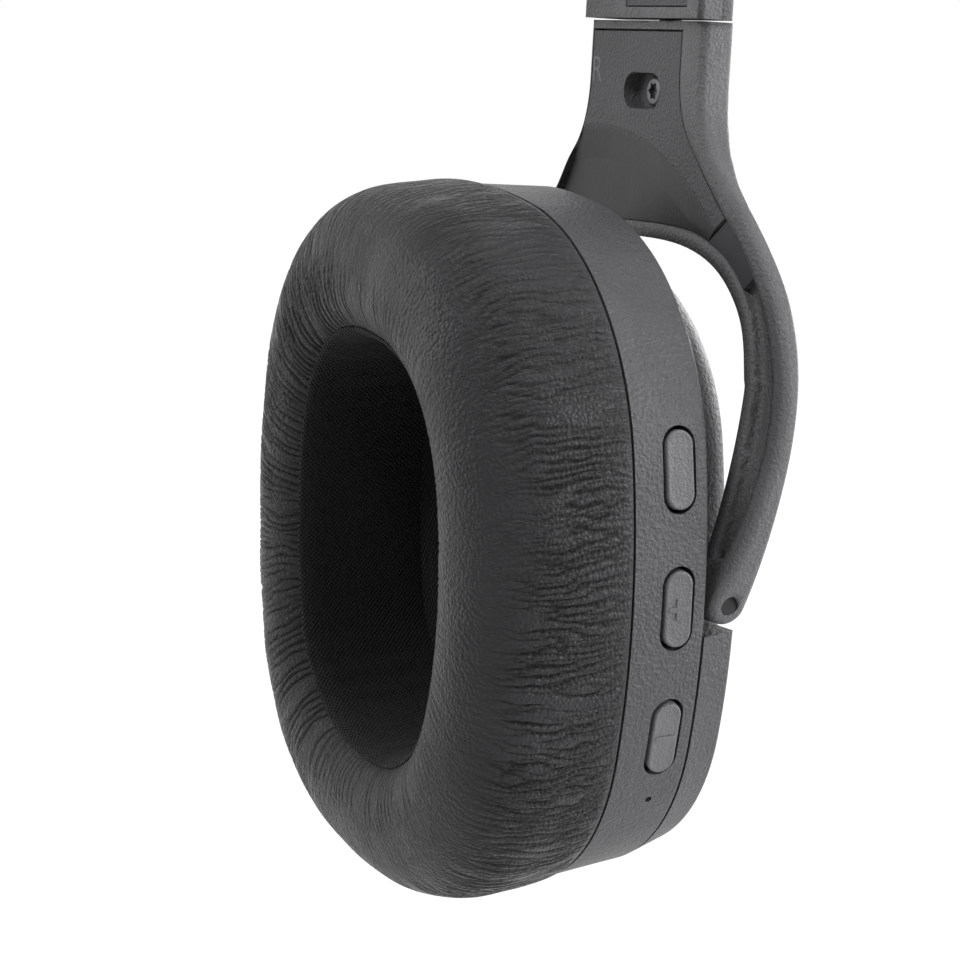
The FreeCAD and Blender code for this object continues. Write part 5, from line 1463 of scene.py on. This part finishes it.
@dataclass
class KeyCap:
    """Key of the cup's rear edge: a rounded long cap with a raised border and a raised sign."""

    key: str
    sign: Sign
    paint: Paint
    gap: float = 0.16
    edge: float = 0.34
    border: float = 0.62
    bar_length: float = 3.1
    bar_width: float = 0.75
    bar_height: float = 0.2

    def axes(self) -> tuple[Array, Array, Array, Array, float, float]:
        """Place of the key's face, read from the CAD key and the joint's axis.

        Returns:
            Middle in metres, long axis, short axis, outward normal, and length and width in
            millimetres.
        """
        joint = next(j for j in frame["joints"] if j["name"] == "press_" + self.key)
        outwards = -np.array(joint["axis"], float)
        outwards /= np.linalg.norm(outwards)
        points = mesh_points(frame["nodes"]["button_" + self.key].data)
        reach = points @ outwards
        face = points[reach > reach.max() - 3e-5]
        flat = face - np.outer(face @ outwards, outwards)
        centre = (flat.min(0) + flat.max(0)) / 2
        spread = np.linalg.svd(flat - flat.mean(0), full_matrices=False)[2]
        long_axis = spread[0] * np.sign(spread[0][2])
        short_axis = np.cross(long_axis, outwards)
        a, b = (flat - centre) @ long_axis, (flat - centre) @ short_axis
        centre = centre + long_axis * (a.max() + a.min()) / 2 + short_axis * (b.max() + b.min()) / 2
        return (centre + outwards * reach.max(), long_axis, short_axis, outwards,
                float(np.ptp(a)) / MM, float(np.ptp(b)) / MM)

    def cap(self, place: tuple[Array, Array, Array, Array, float, float]) -> Array:
        """Cap: a long oval of two half circles and straight sides, drawn in by each profile step.

        Args:
            place: face of the key, as axes gives it.

        Returns:
            Grid of points, in metres.
        """
        centre, long_axis, short_axis, outwards, length, width = place
        e, g = self.edge, self.gap
        half, run = width / 2 - g, (length - width) / 2
        inset, drop = np.array([
            (half, 0.10), (half - 0.35, 0.10), (e + self.border + 0.2, 0.10),
            (e + self.border, 0.10), (e + 0.12, 0.02), (e, 0.0), (e * 0.6, 0.02), (e * 0.25, 0.08),
            (0.06, 0.18), (0.0, 0.34), (0.0, 1.0), (0.0, 2.0), (0.3, 2.0), (half, 2.0)]).T
        turn = np.linspace(-math.pi / 2, 3 * math.pi / 2, 96, endpoint=False)
        end = np.where((turn > -math.pi / 2 + 1e-6) & (turn < math.pi / 2 + 1e-6), 1.0, -1.0)
        radius = (half - inset)[None, :]
        a = end[:, None] * run + radius * np.cos(turn)[:, None]
        b = radius * np.sin(turn)[:, None]
        return centre + (a[..., None] * long_axis + b[..., None] * short_axis
                         - (drop[None, :] + 0 * a)[..., None] * outwards) * MM

    def bar(self, centre: Array, along: Array, across: Array, outwards: Array) -> Array:
        """Flat-topped bar: a superellipsoid of power 6, half sunk in the key's face.

        Args:
            centre: middle of the bar, in metres.
            along: unit vector of its length.
            across: unit vector of its width.
            outwards: unit vector away from the key.

        Returns:
            Grid of points, in metres.
        """
        turn = np.linspace(0, FULL_TURN, 48, endpoint=False)[:, None]
        rise = np.linspace(-math.pi / 2, math.pi / 2, 17)[None, :]
        power = 0.33
        flat = np.abs(np.cos(rise)) ** power
        a = np.sign(np.cos(turn)) * np.abs(np.cos(turn)) ** power * flat * self.bar_length / 2
        b = np.sign(np.sin(turn)) * np.abs(np.sin(turn)) ** power * flat * self.bar_width / 2
        c = np.sign(np.sin(rise)) * np.abs(np.sin(rise)) ** power * self.bar_height + 0 * turn
        return centre + MM * (a[..., None] * along + b[..., None] * across
                              + c[..., None] * outwards)

    def make(self) -> list[Piece]:
        """Cap, and the bars of its sign on the sunk field of its face.

        Returns:
            The pieces, cap first.
        """
        place = self.axes()
        cap = grid_object("key_cap_" + self.key, self.cap(place), True, False, None,
                          "key_" + self.key, weld=True)
        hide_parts("button_" + self.key)
        pieces = [self.paint.dress(cap, "button_plastic")]
        centre, long_axis, short_axis, outwards = place[:4]
        field_middle = centre - outwards * 0.1 * MM
        for name in self.sign.value:
            along, aside = (short_axis, long_axis) if name == "level" else (long_axis, short_axis)
            bar = self.bar(field_middle, along, aside, outwards)
            piece = grid_object("key_sign_%s_%s" % (self.key, name), bar, True, False, None,
                                "key_" + self.key, weld=True)
            pieces.append(self.paint.dress(piece, "button_plastic"))
        return pieces


def stand_in(node: str, name: str, paint: Paint, change: Callable[[Array], Array],
             longest: float = 0.0) -> Piece:
    """Show a CAD node of the body's plastic by a merged copy whose points are moved.

    Args:
        node: the CAD node.
        name: name of the piece.
        paint: the finishes.
        change: gives the new place of each point, in millimetres.
        longest: longest edge to leave before the move, in millimetres, or 0 to leave them all.

    Returns:
        The piece.
    """
    mesh = merged_copy(node, name, longest)
    set_points(mesh, change(mesh_points(mesh) / MM) * MM)
    piece = link(bpy.data.objects.new(name, mesh), body_of(node))
    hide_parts(node)
    return paint.dress(piece, "body_plastic")


@dataclass
class SliderBlock:
    """Block at the end of the slider, drawn down so that only a hairline stays above the yoke."""

    side: Side
    paint: Paint
    draw: float = 0.5
    reach: float = 0.4

    def lower(self, points: Array) -> Array:
        """Carry the block's lowest points down.

        Args:
            points: points of the block, in millimetres.

        Returns:
            The moved points.
        """
        moved = points.copy()
        moved[:, 2] -= self.draw * (points[:, 2] < points[:, 2].min() + self.reach)
        return moved

    def make(self) -> Piece:
        """Merged copy of the CAD block whose lowest points are carried down.

        Returns:
            The piece.
        """
        label = self.side.label
        return stand_in("slider_block_" + label, "slider_block_drawn_" + label, self.paint,
                        self.lower)


@dataclass
class CrownedYoke:
    """Yoke frame whose outer face falls away towards both edges of the shoulder."""

    side: Side
    paint: Paint
    inner_x: float = 90.1
    outer_x: float = 93.4
    flat_share: float = 0.3
    longest: float = 1.6
    lowest: int = -20
    levels: int = 111
    heights: tuple[float, ...] = (24.0, 30.0, 35.5, 41.0, 44.0, 46.7, 49.5, 52.0, 56.0, 61.0)
    falls: tuple[float, ...] = (0.0, 0.6, 1.4, 2.8, 3.2, 3.2, 2.4, 1.3, 0.4, 0.0)

    def crown(self, points: Array) -> Array:
        """Carry the outer face towards the head.

        The fall is the one for the point's height, times a cubic step of its place between the
        middle and the edge of the outline at that height, times its share of the way from the
        covers' level to the outer face.

        Args:
            points: points of the yoke, in millimetres.

        Returns:
            The moved points.
        """
        out = points[:, 0] * self.side.value
        level = np.clip(np.round(points[:, 2]).astype(int) - self.lowest, 0, self.levels - 1)
        low, high = np.full(self.levels, np.inf), np.full(self.levels, -np.inf)
        np.minimum.at(low, level, points[:, 1])
        np.maximum.at(high, level, points[:, 1])
        known = np.isfinite(low)
        steps = np.arange(self.levels)[known] + float(self.lowest)
        kernel = np.ones(3) / 3.0
        low = np.convolve(np.pad(low[known], 1, mode="edge"), kernel, "valid")
        high = np.convolve(np.pad(high[known], 1, mode="edge"), kernel, "valid")
        near, far = np.interp(points[:, 2], steps, low), np.interp(points[:, 2], steps, high)
        place = np.abs(points[:, 1] - (near + far) / 2) / ((far - near) / 2)
        edge = smoothstep(self.flat_share, 1.0, place)
        share = np.clip((out - self.inner_x) / (self.outer_x - self.inner_x), 0.0, 1.0)
        fall = np.interp(points[:, 2], self.heights, self.falls) * edge * share
        moved = points.copy()
        moved[:, 0] = (out - fall) * self.side.value
        return moved

    def make(self) -> Piece:
        """Merged, finely divided copy of the CAD frame with the crown applied.

        Returns:
            The piece.
        """
        label = self.side.label
        return stand_in("yoke_frame_" + label, "yoke_crowned_" + label, self.paint, self.crown,
                        self.longest)


# ---------------------------------------------------------------------------------------------
# Studio
# ---------------------------------------------------------------------------------------------
@dataclass
class Studio:
    """Camera, pale floor, soft lamps and white surroundings.

    The eye and the floor's drop below the lowest point are millimetres; lamp places and sizes, the
    camera's clip distances and the floor's half width are metres, and lamp powers are watts.
    """

    eye: tuple[float, float, float] = (-134.24, -392.96, 60.38)
    azimuth: float = -27.0
    elevation: float = 6.89
    roll: float = 3.21
    lens: float = 120.94
    sensor: float = 36.0
    clip: tuple[float, float] = (0.01, 20.0)
    floor_drop: float = 18.0
    floor_half: float = 30.0
    floor_grey: float = 0.8
    floor_white: float = 1.08
    floor_share: float = 0.93
    world_level: float = 0.22
    lamp_target: tuple[float, float, float] = (0.06, 0.0, 0.03)
    lamps: tuple[tuple[str, tuple[float, float, float], float, float], ...] = (
        ("top_lamp", (0.1, 0.05, 1.05), 0.6, 8.0),
        ("right_lamp", (0.62, -0.8, 0.25), 0.4, 5.6),
        ("side_lamp", (1.0, -0.4, 0.12), 0.5, 6.5),
        ("right_back_lamp", (0.9, 0.5, 0.3), 0.5, 4.5),
        ("left_back_lamp", (-0.8, 0.6, 0.25), 0.5, 3.4),
        ("left_lamp", (-0.5, -0.28, 0.8), 0.26, 4.6))

    @staticmethod
    def stand(thing: Piece, right: Array, up: Array, back: Array, spot: Array) -> None:
        """Put a camera or lamp at a spot with its three axes along unit vectors.

        Args:
            thing: the camera or lamp.
            right: its own X.
            up: its own Y.
            back: its own Z, away from what it looks at.
            spot: its place, in metres.
        """
        matrix = np.eye(4)
        matrix[:3] = np.stack([right, up, back, spot], axis=1)
        thing.matrix_world = Matrix(matrix.tolist())

    @staticmethod
    def seen_white(g: Graph) -> Socket:
        """1 on camera, glossy and transmission rays and 0 on all others.

        Args:
            g: graph of the floor or the world.

        Returns:
            Output with that value.
        """
        path = g.add("LightPath").outputs
        mirrored = g.math("MAXIMUM", path["Is Glossy Ray"], path["Is Transmission Ray"])
        return g.math("MAXIMUM", path["Is Camera Ray"], mirrored)

    def make_camera(self) -> None:
        """Camera looking along the chosen azimuth and elevation, rolled about its own axis."""
        a, e, r = (math.radians(v) for v in (self.azimuth, self.elevation, self.roll))
        back = np.array([math.sin(a) * math.cos(e), -math.cos(a) * math.cos(e), math.sin(e)])
        level = np.array([math.cos(a), math.sin(a), 0.0])
        up = np.cross(back, level)
        right, top = math.cos(r) * level + math.sin(r) * up, -math.sin(r) * level + math.cos(r) * up
        data = bpy.data.cameras.new("camera")
        data.lens, data.sensor_width = self.lens, self.sensor
        data.clip_start, data.clip_end = self.clip
        camera = link(bpy.data.objects.new("camera", data))
        self.stand(camera, right, top, back, np.array(self.eye) * MM)
        bpy.context.scene.camera = camera

    def make_floor(self) -> None:
        """Large pale floor that shows white to the camera but keeps a soft shadow."""
        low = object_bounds()[0]
        mesh = bpy.data.meshes.new("floor")
        half, level = self.floor_half, low[2] - self.floor_drop * MM
        corners = [(a * half, b * half, level) for a, b in ((-1, -1), (1, -1), (1, 1), (-1, 1))]
        mesh.from_pydata(corners, [], [(0, 1, 2, 3)])
        floor = link(bpy.data.objects.new("floor", mesh))
        material = bpy.data.materials.new("floor_paper")
        material.use_nodes = True
        g = Graph(material.node_tree)
        shader = g.nodes["Principled BSDF"]
        shader.inputs["Base Color"].default_value = (*(self.floor_grey,) * 3, 1.0)
        shader.inputs["Roughness"].default_value = 0.9
        white = g.add("Emission", {"Color": (1.0, 1.0, 1.0, 1.0), "Strength": self.floor_white})
        share = g.times(self.seen_white(g), self.floor_share)
        mix = g.add("MixShader", {0: share, 1: shader.outputs[0], 2: white.outputs[0]})
        g.join(mix.outputs[0], g.nodes["Material Output"].inputs["Surface"])
        mesh.materials.append(material)
        floor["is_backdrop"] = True

    def make_world(self) -> None:
        """White surroundings, at a lower strength where they light the object."""
        world = bpy.data.worlds.new("studio")
        bpy.context.scene.world = world
        world.use_nodes = True
        g = Graph(world.node_tree)
        shader = g.nodes["Background"]
        seen = self.seen_white(g)
        shader.inputs["Color"].default_value = (1.0, 1.0, 1.0, 1.0)
        g.join(g.ramp(seen, 0.0, 1.0, self.world_level, 1.0), shader.inputs["Strength"])

    def make_lamps(self) -> None:
        """Square soft lamps, each aimed at the middle of the object."""
        for name, place, size, power in self.lamps:
            data = bpy.data.lights.new(name, "AREA")
            data.size, data.energy = size, power
            lamp = link(bpy.data.objects.new(name, data))
            spot = np.array(place)
            aim = spot - np.array(self.lamp_target)
            back = aim / np.linalg.norm(aim)
            upright = abs(back[2]) > 0.99
            right = np.array([1.0, 0.0, 0.0]) if upright else np.cross([0.0, 0.0, 1.0], back)
            right /= np.linalg.norm(right)
            self.stand(lamp, right, np.cross(back, right), back, spot)

    def build(self) -> None:
        """The whole studio."""
        bpy.context.scene.view_settings.view_transform = "Standard"
        self.make_camera()
        self.make_floor()
        self.make_world()
        self.make_lamps()


def main() -> None:
    """Build the studio, dress the CAD nodes and add the soft parts, screws and marks."""
    logging.basicConfig(level=logging.INFO, format="%(name)s: %(message)s")
    Studio().build()
    paint = Paint()
    log.info("dressed %d CAD nodes", paint.dress_nodes())
    pieces: list[Piece] = []
    for side in Side:
        pieces += EarCushion(CupFrame(side), paint).build()
        pieces.append(LobedScrew(side, paint).make())
        pieces.append(StemMark(side, paint).make())
        pieces.append(SliderBlock(side, paint).make())
        pieces.append(CrownedYoke(side, paint).make())
    pieces.append(HeadbandPad(paint).make())
    for key, sign in (("main", Sign.PLAIN), ("plus", Sign.PLUS), ("minus", Sign.MINUS)):
        pieces += KeyCap(key, sign, paint).make()
    for piece in pieces:
        log.info("%s: %d faces", piece.name, len(piece.data.polygons))


if __name__ == "__main__":
    main()
